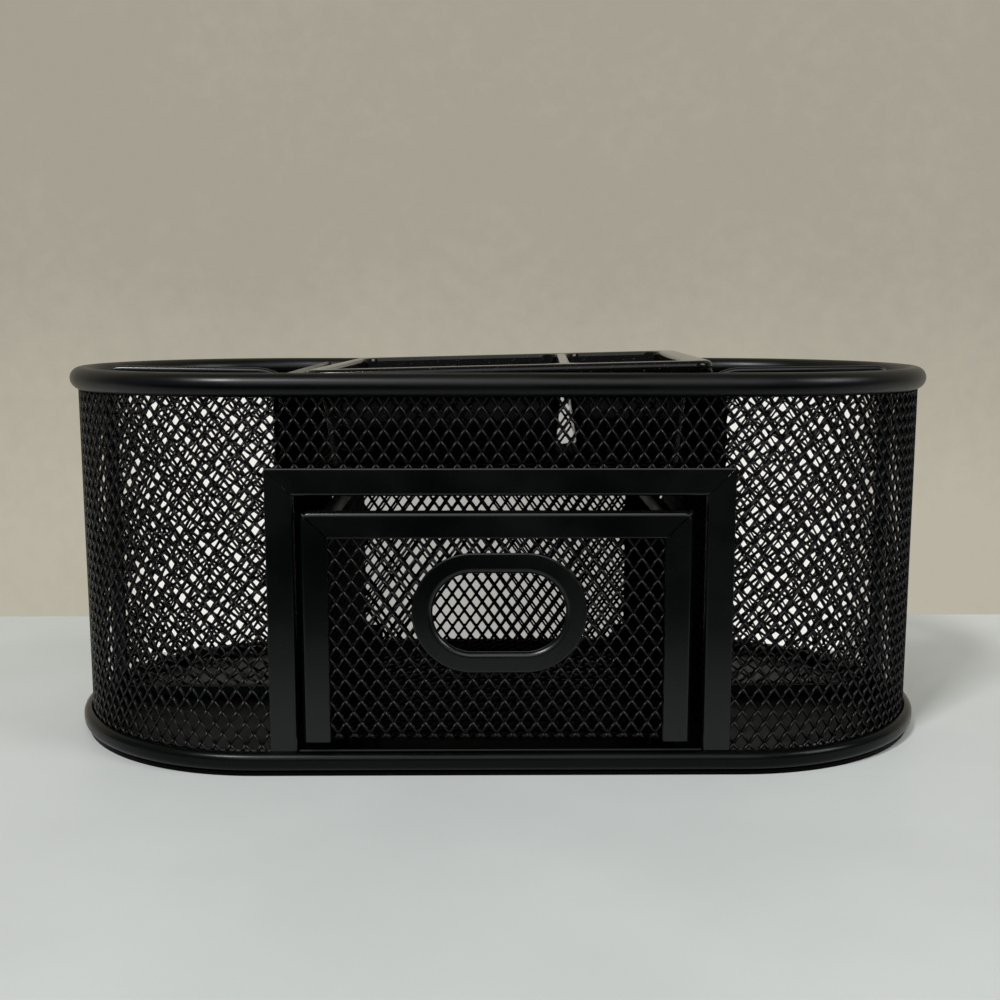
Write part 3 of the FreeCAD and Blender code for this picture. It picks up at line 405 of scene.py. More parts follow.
@dataclass(frozen=True)
class GlossPlastic(Finish):
    """Injection-moulded glossy plastic: soft waviness, hairline scratches and settled dust."""

    gloss: float = 0.20
    wave_height: float = 0.05 * MM

    def surface(self, graph: Graph, place: Wire) -> dict[int | str, object]:
        """The shader's values.

        Args:
            graph: The material's graph.
            place: The object's own coordinates.

        Returns:
            Links and plain values by the socket's name.
        """
        waves = noise(graph, place, 7 * MM, detail=1.0)
        streaks = graph.vector("MULTIPLY", place, (9.0, 0.8, 3.0))
        scratch = noise(graph, streaks, 2.4 * MM, detail=5.0, rough=0.75).ramp(0.66, 0.76)
        specks = noise(graph, place, 0.4 * MM, detail=1.0).ramp(0.69, 0.76)
        return {
            "Base Color": blend_colours(graph, specks * 0.5 + scratch * 0.12, self.colour,
                                        self.dust_colour),
            "Roughness": self.roughness + scratch * 0.12 + specks * 0.2,
            "Specular IOR Level": self.gloss,
            "Coat Weight": waves.ramp(0.3, 0.7, 0.04, 0.08),
            "Coat Roughness": 0.05,
            "Normal": relief(graph, waves + scratch * 0.05, self.wave_height),
        }


@dataclass(frozen=True)
class Enamel(Finish):
    """Semi-gloss enamel on the pressed floor, with dust that gathers on its level faces."""

    gloss: float = 0.04
    wave_height: float = 0.03 * MM

    def surface(self, graph: Graph, place: Wire) -> dict[int | str, object]:
        """The shader's values.

        Args:
            graph: The material's graph.
            place: The object's own coordinates.

        Returns:
            Links and plain values by the socket's name.
        """
        cloud = noise(graph, place, 16 * MM, detail=3.0)
        specks = noise(graph, place, 0.7 * MM, detail=2.0).ramp(0.6, 0.72)
        rings = noise(graph, place, 5 * MM, detail=4.0, rough=0.6).ramp(0.5, 0.68)
        _, _, level = graph.split(graph.add("ShaderNodeNewGeometry", key="Normal"))
        dust = (specks * 0.06 + rings * 0.03) * level.ramp(0.3, 0.9)
        return {
            "Base Color": blend_colours(graph, dust.smaller(1.0), self.colour, self.dust_colour),
            "Roughness": cloud.ramp(0.3, 0.7, self.roughness - 0.04, self.roughness + 0.08)
            + dust * 0.3,
            "Specular IOR Level": self.gloss,
            "Normal": relief(graph, cloud, self.wave_height),
        }


DUST = (0.12, 0.115, 0.105)
STRIP_COAT = PowderCoat("strip_coat", (0.0001, 0.0009, 0.0008), DUST, 0.25, 0.5 * MM, 0.006 * MM,
                        dust=0.02, scuffs=0.01, gloss=0.40)
# The ring's copy of the strip coat is a little darker and has much less shine: painted shade on the
# ring.
RING_COAT_PAINTED_SHADE = PowderCoat("ring_coat_painted_shade", (0.0001, 0.0007, 0.0006), DUST, 0.25, 0.5 * MM, 0.006 * MM,
                       dust=0.02, scuffs=0.01, gloss=0.14)
RIM_COAT = PowderCoat("rim_coat", (0.0001, 0.0003, 0.0004), DUST, 0.34, 0.6 * MM, 0.004 * MM,
                      dust=0.03, scuffs=0.08, gloss=0.25)
MESH_COAT = PowderCoat("mesh_coat", (0.0002, 0.0003, 0.0003), DUST, 0.33, 0.4 * MM, 0.006 * MM,
                       dust=0.01, scuffs=0.0, gloss=0.25)
# Copy of the mesh coat with almost no shine and more roughness, for the mesh inside the stand and
# the drawer: painted shade, the same paint made darker where the inside lies in shade.
MESH_COAT_PAINTED_SHADE = PowderCoat("mesh_coat_painted_shade", (0.0002, 0.0003, 0.0003), DUST, 0.42, 0.4 * MM,
                             0.006 * MM, dust=0.01, scuffs=0.0, gloss=0.03)
# Copy of the strip coat with a darker colour and little shine, for the runners and the drawer's
# inner hems: painted shade on the same paint.
STRIP_COAT_PAINTED_SHADE = PowderCoat("strip_coat_painted_shade", (0.0001, 0.0004, 0.0003), DUST, 0.38, 0.5 * MM,
                              0.006 * MM, dust=0.02, scuffs=0.01, gloss=0.06)
TRAY_PLASTIC = GlossPlastic("tray_gloss", (0.0008, 0.0010, 0.0010), DUST, 0.10)
PAN_ENAMEL = Enamel("pan_enamel", (0.0006, 0.0006, 0.0005), DUST, 0.34)


# ------------------------------------------------------------------ meshes

@dataclass(frozen=True)
class Extent:
    """The box of a CAD node, in metres."""

    low: Vector
    high: Vector

    @classmethod
    def of(cls, node: str) -> "Extent":
        """The box of a node by its name."""
        low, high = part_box(node)
        return cls(Vector(low), Vector(high))

    @property
    def middle(self) -> Vector:
        """The middle of the box."""
        return (self.low + self.high) / 2

    @property
    def size(self) -> Vector:
        """The box's three dimensions."""
        return self.high - self.low


def skin(rings: Sequence[Sequence[Vector]], closed: bool = False, capped: bool = False,
         smooth: float = 32.0) -> bpy.types.Mesh:
    """Join equal rings of points, one to the next, into a mesh.

    Args:
        rings: Closed loops of points, all with the same number.
        closed: Whether the last ring joins the first.
        capped: Whether the first and the last ring are filled.
        smooth: Edges that turn by less than this are shaded smooth, in degrees.

    Returns:
        A mesh whose faces point outwards.
    """
    work = bmesh.new()
    rows = lay_rings(work, rings, closed)
    if capped:
        work.faces.new(rows[0])
        work.faces.new(rows[-1])
    return to_mesh(work, smooth)


def lay_rings(work: bmesh.types.BMesh, rings: Sequence[Sequence[Vector]],
              closed: bool = False) -> list[list[bmesh.types.BMVert]]:
    """Add equal rings of points and the faces between them.

    Args:
        work: The bmesh that they are added to.
        rings: Closed loops of points, all with the same number.
        closed: Whether the last ring joins the first.

    Returns:
        The rings' vertices.
    """
    rows = [[work.verts.new(point) for point in ring] for ring in rings]
    followers = rows[1:] + rows[:1] if closed else rows[1:]
    for here, there in zip(rows, followers):
        for index in range(len(here)):
            after = (index + 1) % len(here)
            work.faces.new((here[index], here[after], there[after], there[index]))
    return rows


def to_mesh(work: bmesh.types.BMesh, smooth: float) -> bpy.types.Mesh:
    """Turn a finished bmesh into a mesh with outward faces and shading by angle.

    Args:
        work: The bmesh, which is freed.
        smooth: Edges that turn by less than this are shaded smooth, in degrees.

    Returns:
        The mesh.
    """
    bmesh.ops.recalc_face_normals(work, faces=work.faces)
    mesh = bpy.data.meshes.new("piece")
    work.to_mesh(mesh)
    work.free()
    mesh.shade_smooth()
    mesh.set_sharp_from_angle(angle=math.radians(smooth))
    return mesh


def arc_points(centre: Point2, radius: float, start: float, turn: float,
               steps: int) -> list[Point2]:
    """Points along an arc, ends included.

    Args:
        centre: Middle of the arc.
        radius: Its radius.
        start: Angle of its first point, in radians.
        turn: Angle that it sweeps, counterclockwise if positive.
        steps: How many chords it has.

    Returns:
        steps + 1 points.
    """
    return [(centre[0] + radius * math.cos(start + turn * step / steps),
             centre[1] + radius * math.sin(start + turn * step / steps))
            for step in range(steps + 1)]


def bent_line(corners: Sequence[Point2], bend: float, steps: int = 6) -> list[Point2]:
    """An open line through corners, with a round bend at each inner one.

    A point just beside each end and each bend keeps the shading of the flats even.

    Args:
        corners: The line's ends and corners.
        bend: Radius of the bends.
        steps: Chords in each bend.

    Returns:
        Points along the line.
    """
    spots = [Vector(corner) for corner in corners]
    line: list[Point2] = [corners[0],
                          tuple(spots[0] + (spots[1] - spots[0]).normalized() * SHORTEST)]
    for before, here, after in zip(corners, corners[1:], corners[2:]):
        spot = Vector(here)
        inward = (spot - Vector(before)).normalized()
        onward = (Vector(after) - spot).normalized()
        turn = math.atan2(inward.cross(onward), inward.dot(onward))
        side = math.copysign(1.0, turn)
        start = spot - inward * (bend * math.tan(abs(turn) / 2))
        centre = start + Vector((-inward.y, inward.x)) * (bend * side)
        arm = start - centre
        arc = arc_points(tuple(centre), bend, math.atan2(arm.y, arm.x), turn, steps)
        line += [tuple(start - inward * SHORTEST), *arc,
                 tuple(Vector(arc[-1]) + onward * SHORTEST)]
    line += [tuple(spots[-1] + (spots[-2] - spots[-1]).normalized() * SHORTEST), corners[-1]]
    return line


def sheet_section(corners: Sequence[Point2], thickness: float, bend: float,
                  nose_steps: int = 4) -> list[Point2]:
    """Outline of a folded sheet, seen from its end.

    Args:
        corners: Ends and corners of the sheet's middle line.
        thickness: The sheet's thickness.
        bend: Radius of the middle line's bends.
        nose_steps: Chords of the rounded edge at either end.

    Returns:
        A closed outline.
    """
    line = [Vector(point) for point in bent_line(corners, bend)]
    heads = [(b - a).normalized() for a, b in zip(line, line[1:])]
    half, sharpest = thickness / 2, 0.5
    left, right = [], []
    for index, spot in enumerate(line):
        near = heads[max(index - 1, 0)]
        far = heads[min(index, len(heads) - 1)]
        head = (near + far).normalized()
        stretch = half / max(head.dot(near), sharpest)
        normal = Vector((-head.y, head.x)) * stretch
        left.append(tuple(spot + normal))
        right.append(tuple(spot - normal))
    first, last = heads[0], heads[-1]
    tail = arc_points(tuple(line[-1]), half, math.atan2(last.y, last.x) - QUARTER, math.pi,
                      nose_steps)[1:-1]
    nose = arc_points(tuple(line[0]), half, math.atan2(first.y, first.x) + QUARTER, math.pi,
                      nose_steps)[1:-1]
    return right + tail + left[::-1] + nose


@dataclass(frozen=True)
class Oval:
    """A straight run with a half-round end on either side, in a plane."""

    half_straight: float
    steps: int = 56

    def loop(self, radius: float) -> list[Point2]:
        """Points round the oval, counterclockwise from the right end of the lower run.

        Args:
            radius: Radius of its ends.

        Returns:
            The points.
        """
        right = arc_points((self.half_straight, 0.0), radius, -QUARTER, math.pi, self.steps)
        left = arc_points((-self.half_straight, 0.0), radius, QUARTER, math.pi, self.steps)
        return right + left

    def level(self, radius: float, height: float) -> list[Vector]:
        """The oval in a level plane."""
        return [Vector((x, y, height)) for x, y in self.loop(radius)]

    def upright(self, radius: float, depth: float, across: float, height: float) -> list[Vector]:
        """The oval in a plane that faces the front, round a given middle."""
        return [Vector((x + across, depth, z + height)) for x, z in self.loop(radius)]


def rounded_loop(corners: Sequence[Point3], inset: float, steps: int = 8) -> list[Point2]:
    """A convex outline with rounded corners, drawn in by inset.

    Args:
        corners: (x, y, radius) of each corner, counterclockwise.
        inset: How far the outline is drawn in.
        steps: Chords in each corner.

    Returns:
        The outline's points; their number doesn't depend on the inset.
    """
    spots = [Vector(corner[:2]) for corner in corners]
    loop: list[Point2] = []
    for index, (here, corner) in enumerate(zip(spots, corners)):
        inward = (here - spots[index - 1]).normalized()
        onward = (spots[(index + 1) % len(spots)] - here).normalized()
        turn = math.atan2(inward.cross(onward), inward.dot(onward))
        radius = max(corner[2] - inset, SHORTEST)
        middle = here + (onward - inward) * ((inset + radius) / math.sin(turn))
        start = math.atan2(inward.y, inward.x) - QUARTER
        loop += arc_points(tuple(middle), radius, start, turn, steps)
    return loop


def fit_piece(name: str, mesh: bpy.types.Mesh, finish: Finish, body: Body, slot: Slot,
              *nodes: str) -> bpy.types.Object:
    """Put a finished mesh into the model.

    Args:
        name: The piece's name.
        mesh: Its mesh, in the frame's own place.
        finish: What it is finished with.
        body: The body that it rides on.
        slot: The record's material slot; not used.
        nodes: CAD nodes that it stands for.

    Returns:
        The piece.
    """
    mesh.name = name
    mesh.materials.clear()
    mesh.materials.append(finish.material())
    piece = bpy.data.objects.new(name, mesh)
    bpy.context.scene.collection.objects.link(piece)
    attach(piece, body.value)
    if nodes:
        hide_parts(*nodes)
    LOG.info("%s: %d faces on %s", name, len(mesh.polygons), body.value)
    return piece


def dress_node(node: str, finish: Finish) -> None:
    """Give a CAD node that stays its finish.

    Args:
        node: The node's name.
        finish: What it is finished with.
    """
    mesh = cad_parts[node].data
    mesh.materials.clear()
    mesh.materials.append(finish.material())
    LOG.info("%s keeps its own shape", node)


# ------------------------------------------------------------------ expanded mesh

class LongWay(Enum):
    """Which way the long diagonal of the diamonds runs on a sheet."""

    ACROSS = 0
    ALONG = 1


@dataclass(frozen=True)
class Weave:
    """Sizes of the expanded metal."""

    short_way: float = 3.9 * MM
    long_way: float = 5.55 * MM
    strand_width: float = 0.50 * MM
    strand_depth: float = 0.74 * MM
    knuckle_width: float = 0.50 * MM
    knuckle_length: float = 0.90 * MM
    knuckle_depth: float = 0.46 * MM
    overlap: float = 0.10 * MM
    lean: float = math.radians(22)

    def knuckle(self, lengthwise: bool) -> tuple[float, float, float]:
        """Half sizes of a knuckle along the route and across it, and its depth.

        Args:
            lengthwise: Whether the diamonds' long way runs along the route.

        Returns:
            The three sizes.
        """
        if lengthwise:
            return self.knuckle_length, self.knuckle_width, self.knuckle_depth
        return self.knuckle_width, self.knuckle_length, self.knuckle_depth


def rounded_box_distance(graph: Graph, x: Wire, y: Wire, half_x: Wire, half_y: Wire,
                         corner: Wire) -> Wire:
    """Distance of a point to a rectangle with round corners; negative inside.

    Args:
        graph: The tree.
        x: The point's place across, from the rectangle's middle.
        y: The point's place up, from the rectangle's middle.
        half_x: Half the rectangle's width.
        half_y: Half its height.
        corner: Radius of its corners.

    Returns:
        The distance.
    """
    over_x = abs(x) - half_x + corner
    over_y = abs(y) - half_y + corner
    outside = graph.vector("LENGTH", graph.combine(over_x.larger(0.0), over_y.larger(0.0)),
                           key="Value")
    return outside + over_x.larger(over_y).smaller(0.0) - corner


def sample_route(graph: Graph, route: Wire, along: Wire) -> tuple[Wire, Wire]:
    """Place and direction of a route at a distance along it.

    Args:
        graph: The tree.
        route: The route's curve.
        along: The distance.

    Returns:
        The place and the direction.
    """
    sample = graph.node("GeometryNodeSampleCurve", {"mode": "LENGTH"},
                        {"Curves": route, "Length": along})
    return graph.out(sample, "Position"), graph.out(sample, "Tangent")


def scatter(graph: Graph, points: Wire, place: Wire, turn: Wire, piece: Wire) -> Wire:
    """Move points to their places and put a turned copy of a piece on each.

    Args:
        graph: The tree.
        points: The points.
        place: Where each one goes.
        turn: How each copy is turned.
        piece: The piece.

    Returns:
        The copies.
    """
    capture = graph.node("GeometryNodeCaptureAttribute", {"domain": "POINT"})
    capture.capture_items.new("ROTATION", "Turn")
    graph.feed(capture.inputs["Geometry"], points)
    graph.feed(capture.inputs["Turn"], turn)
    laid = graph.add("GeometryNodeSetPosition", values={
        "Geometry": graph.out(capture, "Geometry"), "Position": place})
    return graph.add("GeometryNodeInstanceOnPoints", values={
        "Points": laid, "Instance": piece, "Rotation": graph.out(capture, "Turn")})


def diamond_tree() -> bpy.types.GeometryNodeTree:
    """Geometry nodes that lay expanded metal along a route.

    The group's geometry is the route, an edge path. Its named inputs give the sheet's width and
    the diamonds' sizes. Every cell of a half-pitch grid holds one strand, and neighbouring cells
    hold strands that slope the other way. Four strands meet at each knuckle, a small prism that
    rounds the corners of the openings around it.

    Returns:
        The tree, ready for a modifier.
    """
    tree = bpy.data.node_groups.new("expanded_mesh", "GeometryNodeTree")
    sockets = (("Route", "Geometry"), ("Width Axis", "Vector"), ("Width", "Float"),
               ("Route Pitch", "Float"), ("Width Pitch", "Float"), ("Strand Width", "Float"),
               ("Strand Depth", "Float"), ("Knuckle Size", "Vector"), ("Knuckle Turn", "Vector"),
               ("Overlap", "Float"), ("Lean", "Float"), ("Slope Lean", "Float"),
               ("Corner Low", "Float"), ("Corner Start", "Float"), ("Corner End", "Float"),
               ("Hole Middle", "Vector"), ("Hole Half Size", "Vector"), ("Hole Corner", "Float"),
               ("Finish", "Material"))
    for name, kind in sockets:
        tree.interface.new_socket(name=name, in_out="INPUT", socket_type=f"NodeSocket{kind}")
    tree.interface.new_socket(name="Sheet", in_out="OUTPUT", socket_type="NodeSocketGeometry")
    graph = Graph(tree)
    given = graph.node("NodeGroupInput")

    def size(name: str) -> Wire:
        """One of the group's named inputs."""
        return graph.out(given, name)

    route = graph.add("GeometryNodeMeshToCurve", values={"Mesh": size("Route")})
    length = graph.add("GeometryNodeCurveLength", values={"Curve": route})
    columns = (length / size("Route Pitch")).rounded() * 2
    rows = (size("Width") / size("Width Pitch") * 2).rounded()
    cell_x, cell_y = length / columns, size("Width") / rows
    grid = graph.add("GeometryNodeMeshGrid", values={
        "Size X": length, "Size Y": size("Width"), "Vertices X": columns + 1,
        "Vertices Y": rows + 1})
    cells = graph.add("GeometryNodeMeshToPoints", {"mode": "FACES"}, {"Mesh": grid})
    x, y, _ = graph.split(graph.add("GeometryNodeInputPosition"))
    along, up = x + length / 2, y + size("Width") / 2
    slope = 1 - ((along / cell_x).floor() + (up / cell_y).floor()) % 2.0 * 2

    corner = (y > 0.0) * ((x > 0.0) * size("Corner End") + (1 - (x > 0.0)) * size("Corner Start"))
    corner = corner + (1 - (y > 0.0)) * size("Corner Low")
    beyond = rounded_box_distance(graph, x, y, length / 2, size("Width") / 2, corner) > 0.0
    hole_x, hole_y, _ = graph.split(size("Hole Middle"))
    half_x, half_y, _ = graph.split(size("Hole Half Size"))
    within = rounded_box_distance(graph, x - hole_x, y - hole_y, half_x, half_y,
                                  size("Hole Corner")) < 0.0
    kept = graph.add("GeometryNodeDeleteGeometry", {"domain": "POINT"},
                     {"Geometry": cells, "Selection": beyond + within > 0.5})

    axis = size("Width Axis")
    spot, tangent = sample_route(graph, route, along)
    facing = graph.vector("CROSS_PRODUCT", tangent, axis)
    heading = graph.vector("ADD", graph.vector("SCALE", tangent, slope * cell_x),
                           graph.vector("SCALE", axis, cell_y))
    turned = graph.add("FunctionNodeAxesToRotation", {"primary_axis": "Z", "secondary_axis": "Y"},
                       {"Primary Axis": heading, "Secondary Axis": facing})
    lean = graph.add("FunctionNodeAxisAngleToRotation", values={
        "Axis": (0.0, 0.0, 1.0), "Angle": size("Lean") + size("Slope Lean") * slope})
    leaning = graph.add("FunctionNodeRotateRotation", {"rotation_space": "LOCAL"},
                        {"Rotation": turned, "Rotate By": lean})
    reach = (cell_x * cell_x + cell_y * cell_y).math("SQRT") + size("Overlap")
    bar = graph.add("GeometryNodeMeshCube", values={
        "Size": graph.combine(size("Strand Width"), size("Strand Depth"), reach)})
    _, _, endwise = graph.split(graph.add("GeometryNodeInputNormal"))
    strand = graph.add("GeometryNodeSetShadeSmooth", {"domain": "FACE"}, {
        "Geometry": bar, "Selection": abs(endwise) < 0.5, "Shade Smooth": True})
    strands = scatter(graph, kept, graph.vector("ADD", spot, graph.vector("SCALE", axis, y)),
                      leaning, strand)

    foot, foot_tangent = sample_route(graph, route, along - cell_x / 2)
    upright = graph.add("FunctionNodeAxesToRotation", {"primary_axis": "Y", "secondary_axis": "Z"},
                        {"Primary Axis": axis,
                         "Secondary Axis": graph.vector("CROSS_PRODUCT", foot_tangent, axis)})
    joints = graph.add("GeometryNodeDeleteGeometry", {"domain": "POINT"},
                       {"Geometry": kept, "Selection": slope < 0.0})
    prism = graph.add("GeometryNodeMeshCylinder", {"fill_type": "NGON"},
                      {"Vertices": 6, "Radius": 1.0, "Depth": 1.0})
    turned_prism = graph.add("GeometryNodeTransform", values={
        "Geometry": prism, "Rotation": size("Knuckle Turn")})
    knuckle = graph.add("GeometryNodeTransform", values={
        "Geometry": turned_prism, "Scale": size("Knuckle Size")})
    corner_place = graph.vector("ADD", foot, graph.vector("SCALE", axis, y - cell_y / 2))
    knuckles = scatter(graph, joints, corner_place, upright, knuckle)
    both = graph.node("GeometryNodeJoinGeometry")
    for part in (knuckles, strands):
        graph.feed(both.inputs["Geometry"], part)
    real = graph.add("GeometryNodeRealizeInstances", values={"Geometry": graph.out(both)})
    finished = graph.add("GeometryNodeSetMaterial", values={
        "Geometry": real, "Material": size("Finish")})
    graph.node("NodeGroupOutput", values={0: finished})
    return tree


@dataclass
class MeshSheet:
    """A sheet of expanded metal that follows a route."""

    route: list[Vector]
    across: Vector
    width: float
    long_way: LongWay = LongWay.ACROSS
    weave: Weave = field(default_factory=Weave)
    corner_low: float = 0.0
    corner_start: float = 0.0
    corner_end: float = 0.0
    hole_middle: Point2 = (0.0, 0.0)
    hole_half: Point2 = (0.0, 0.0)
    hole_corner: float = 0.0

    def inputs(self) -> dict[str, object]:
        """The tree's inputs.

        Returns:
            Values by the input's name.
        """
        weave, lengthwise = self.weave, self.long_way is LongWay.ALONG
        return {
            "Width Axis": self.across,
            "Width": self.width,
            "Route Pitch": weave.long_way if lengthwise else weave.short_way,
            "Width Pitch": weave.short_way if lengthwise else weave.long_way,
            "Strand Width": weave.strand_width,
            "Strand Depth": weave.strand_depth,
            "Knuckle Size": weave.knuckle(lengthwise),
            "Knuckle Turn": (0.0, 0.0, 0.0 if lengthwise else QUARTER),
            "Overlap": weave.overlap,
            "Lean": 0.0 if lengthwise else weave.lean,
            "Slope Lean": weave.lean if lengthwise else 0.0,
            "Corner Low": self.corner_low,
            "Corner Start": self.corner_start,
            "Corner End": self.corner_end,
            "Hole Middle": (*self.hole_middle, 0.0),
            "Hole Half Size": (*self.hole_half, 0.0),
            "Hole Corner": self.hole_corner,
            "Finish": MESH_COAT.material(),
        }

    def mesh(self) -> bpy.types.Mesh:
        """Lay the strands.

        Returns:
            One plain mesh of every strand.
        """
        path = bpy.data.meshes.new("route")
        path.from_pydata(self.route, [(n, n + 1) for n in range(len(self.route) - 1)], [])
        holder = bpy.data.objects.new("route", path)
        bpy.context.scene.collection.objects.link(holder)
        modifier = holder.modifiers.new("weave", "NODES")
        tree = bpy.data.node_groups.get("expanded_mesh") or diamond_tree()
        modifier.node_group = tree
        values = self.inputs()
        for item in tree.interface.items_tree:
            if item.in_out == "INPUT" and item.name in values:
                modifier[item.identifier] = values[item.name]
        state = bpy.context.evaluated_depsgraph_get()
        mesh = bpy.data.meshes.new_from_object(holder.evaluated_get(state))
        holder.modifiers.remove(modifier)
        bpy.data.objects.remove(holder)
        bpy.data.meshes.remove(path)
        return mesh


# ------------------------------------------------------------------ the stand

@dataclass
class Shell:
    """Rolled rim, rolled base ring and the mesh wall between them."""

    rim: Extent = field(default_factory=lambda: Extent.of("top_rim"))
    ring: Extent = field(default_factory=lambda: Extent.of("base_ring"))
    wall: Extent = field(default_factory=lambda: Extent.of("wall_mesh"))
    surround: Extent = field(default_factory=lambda: Extent.of("surround_top"))
    rim_steps: int = 28
    ring_bend: float = 1.7 * MM
    ring_reach: float = 1.5 * MM
    wall_phase: float = -1.3 * MM
    opening_foot: float = 1.5 * MM
    opening_head: float = 2 * MM
    opening_side: float = 4.5 * MM

    @property
    def oval(self) -> Oval:
        """The plan that the rim, the ring and the wall share."""
        return Oval(self.rim.high.x - self.rim.high.y)

    def make_rim(self) -> None:
        """The tube rolled over the top of the wall."""
        radius = self.rim.size.z / 2
        middle, height = self.rim.high.y - radius, self.rim.middle.z
        section = arc_points((middle, height), radius, 0.0, 2 * math.pi, self.rim_steps)[:-1]
        rings = [self.oval.level(out, up) for out, up in section]
        fit_piece("rim_tube", skin(rings, closed=True), RIM_COAT, Body.STAND, Slot.STRIP, "top_rim")

    def make_ring(self) -> None:
        """The channel rolled round the foot of the wall."""
        half = STRIP_SHEET / 2
        outer, inner = self.ring.high.y - half, self.wall_inside - self.ring_reach
        low, high = self.ring.low.z + half, self.ring.high.z - half
        corners = [(self.wall.high.y + STRIP_SHEET, high), (outer, high), (outer, low),
                   (inner, low), (inner, high), (self.wall_inside - STRIP_SHEET, high)]
        bend = min(self.ring_bend, (outer - inner) / 2)
        rings = [self.oval.level(out, up)
                 for out, up in sheet_section(corners, STRIP_SHEET, bend)]
        # The ring takes the darker, less shiny copy of the strip coat: painted shade.
        fit_piece("base_roll", skin(rings, closed=True), RING_COAT_PAINTED_SHADE, Body.STAND, Slot.STRIP,
                  "base_ring")

    @property
    def wall_inside(self) -> float:
        """Distance from the middle to the inside of the wall."""
        return self.wall.high.y - MESH_SHEET

    def route(self) -> list[Vector]:
        """Middle line of the wall, from the middle of the rear round to it again.

        Returns:
            Its points.
        """
        radius = (self.wall.high.y + self.wall_inside) / 2
        loop = self.oval.level(radius, self.wall.middle.z)
        half = len(loop) // 2
        start = Vector((self.wall_phase, radius, self.wall.middle.z))
        return [start, *loop[half:], *loop[:half], start.copy()]

    def make_wall(self) -> None:
        """The mesh wall with its drawer opening."""
        low, high = self.ring.high.z - self.opening_foot, self.surround.low.z + self.opening_head
        sheet = MeshSheet(
            self.route(), Z_AXIS, self.wall.size.z,
            hole_middle=(self.wall_phase, (low + high) / 2 - self.wall.middle.z),
            hole_half=(self.surround.size.x / 2 - self.opening_side, (high - low) / 2))
        fit_piece("wall_weave", sheet.mesh(), MESH_COAT, Body.STAND, Slot.MESH, "wall_mesh")

    def make(self) -> None:
        """Build the shell."""
        self.make_rim()
        self.make_ring()
        self.make_wall()
        dress_node("base_pan", PAN_ENAMEL)


Placing = Callable[[float, float, float], Vector]


def mitred_end(section: Sequence[Point2], place: Placing, edge: float, heading: int,
               corner: float) -> list[list[Vector]]:
    """Rings of a strip's mitred end, from the mitre to where the strip runs straight.

    Args:
        section: Outline of the strip; its first coordinate is the distance in from the edge
            that the mitre starts from.
        place: Gives the spot for a place along the strip and a point of the outline.
        edge: Where the strip's outer edge ends.
        heading: 1 if the strip runs on towards larger values, -1 if towards smaller ones.
        corner: Radius of the rounded outer corner; 0 is a sharp one.

    Returns:
        The rings.
    """
    steps, gap = (3, 0.05 * MM) if corner else (0, 0.0)
    rings: list[list[Vector]] = []
    for step in range(steps + 1):
        angle = QUARTER / 2 * (1 + step / max(steps, 1))
        ring = []
        for inward, up in section:
            arm = corner - inward
            along, depth = inward + step * gap, inward
            if arm > 0:
                along, depth = corner - arm * math.cos(angle), corner - arm * math.sin(angle)
            ring.append(place(edge + heading * along, depth, up))
        rings.append(ring)
    return rings


def strip_mesh(section: Sequence[Point2], place: Placing, start: float,
               end: float) -> bpy.types.Mesh:
    """A straight folded strip with square ends.

    Args:
        section: Outline of the strip.
        place: Gives the spot for a place along the strip and a point of the outline.
        start: Where the strip starts.
        end: Where it ends.

    Returns:
        The strip's mesh.
    """
    return skin([[place(along, inward, up) for inward, up in section]
                 for along in (start, end)], capped=True)


@dataclass
class FrontFrame:
    """Folded strips round an opening or a panel that faces the front: two stiles and a top bar.

    The section's first coordinate is the distance in from the frame's outer edge, and its second
    the distance to the front.
    """

    left: Extent
    right: Extent
    top: Extent
    section: list[Point2] = field(default_factory=list)
    corner: float = 0.0
    seam: float = 0.12 * MM

    @classmethod
    def of(cls, node: str) -> "FrontFrame":
        """The frame whose nodes' names start like this, without its section."""
        return cls(*(Extent.of(f"{node}_{word}") for word in ("left", "right", "top")))

    def top_bar(self) -> bpy.types.Mesh:
        """The bar along the top, mitred at both ends.

        Returns:
            The strip's mesh.
        """
        def place(along: float, inward: float, out: float) -> Vector:
            """A spot on the bar, at X along."""
            return Vector((along, self.top.low.y - out, self.top.high.z - inward))

        left = mitred_end(self.section, place, self.left.low.x + self.seam, 1, self.corner)
        right = mitred_end(self.section, place, self.right.high.x - self.seam, -1, self.corner)
        return skin(left + right[::-1], capped=True)

    def stile(self, side: Side) -> bpy.types.Mesh:
        """One upright strip, mitred at its top.

        Args:
            side: Which of the two.

        Returns:
            The strip's mesh.
        """
        edge = self.right.high.x if side is Side.RIGHT else self.left.low.x

        def place(along: float, inward: float, out: float) -> Vector:
            """A spot on the stile, at height along."""
            return Vector((edge - side.value * inward, self.top.low.y - out, along))

        foot = [place(self.left.low.z, inward, out) for inward, out in self.section]
        top = mitred_end(self.section, place, self.top.high.z - self.seam, -1, self.corner)
        return skin([foot, *top[::-1]], capped=True)

    def fit(self, piece: str, node: str, body: Body) -> None:
        """Put the bar and both stiles into the model.

        Args:
            piece: Start of the pieces' names.
            node: Start of the names of their CAD nodes.
            body: The body that they ride on.
        """
        fit_piece(f"{piece}_bar", self.top_bar(), STRIP_COAT, body, Slot.STRIP, f"{node}_top")
        for side in Side:
            fit_piece(f"{piece}_stile_{side.word}", self.stile(side), STRIP_COAT, body,
                      Slot.STRIP, f"{node}_{side.word}")


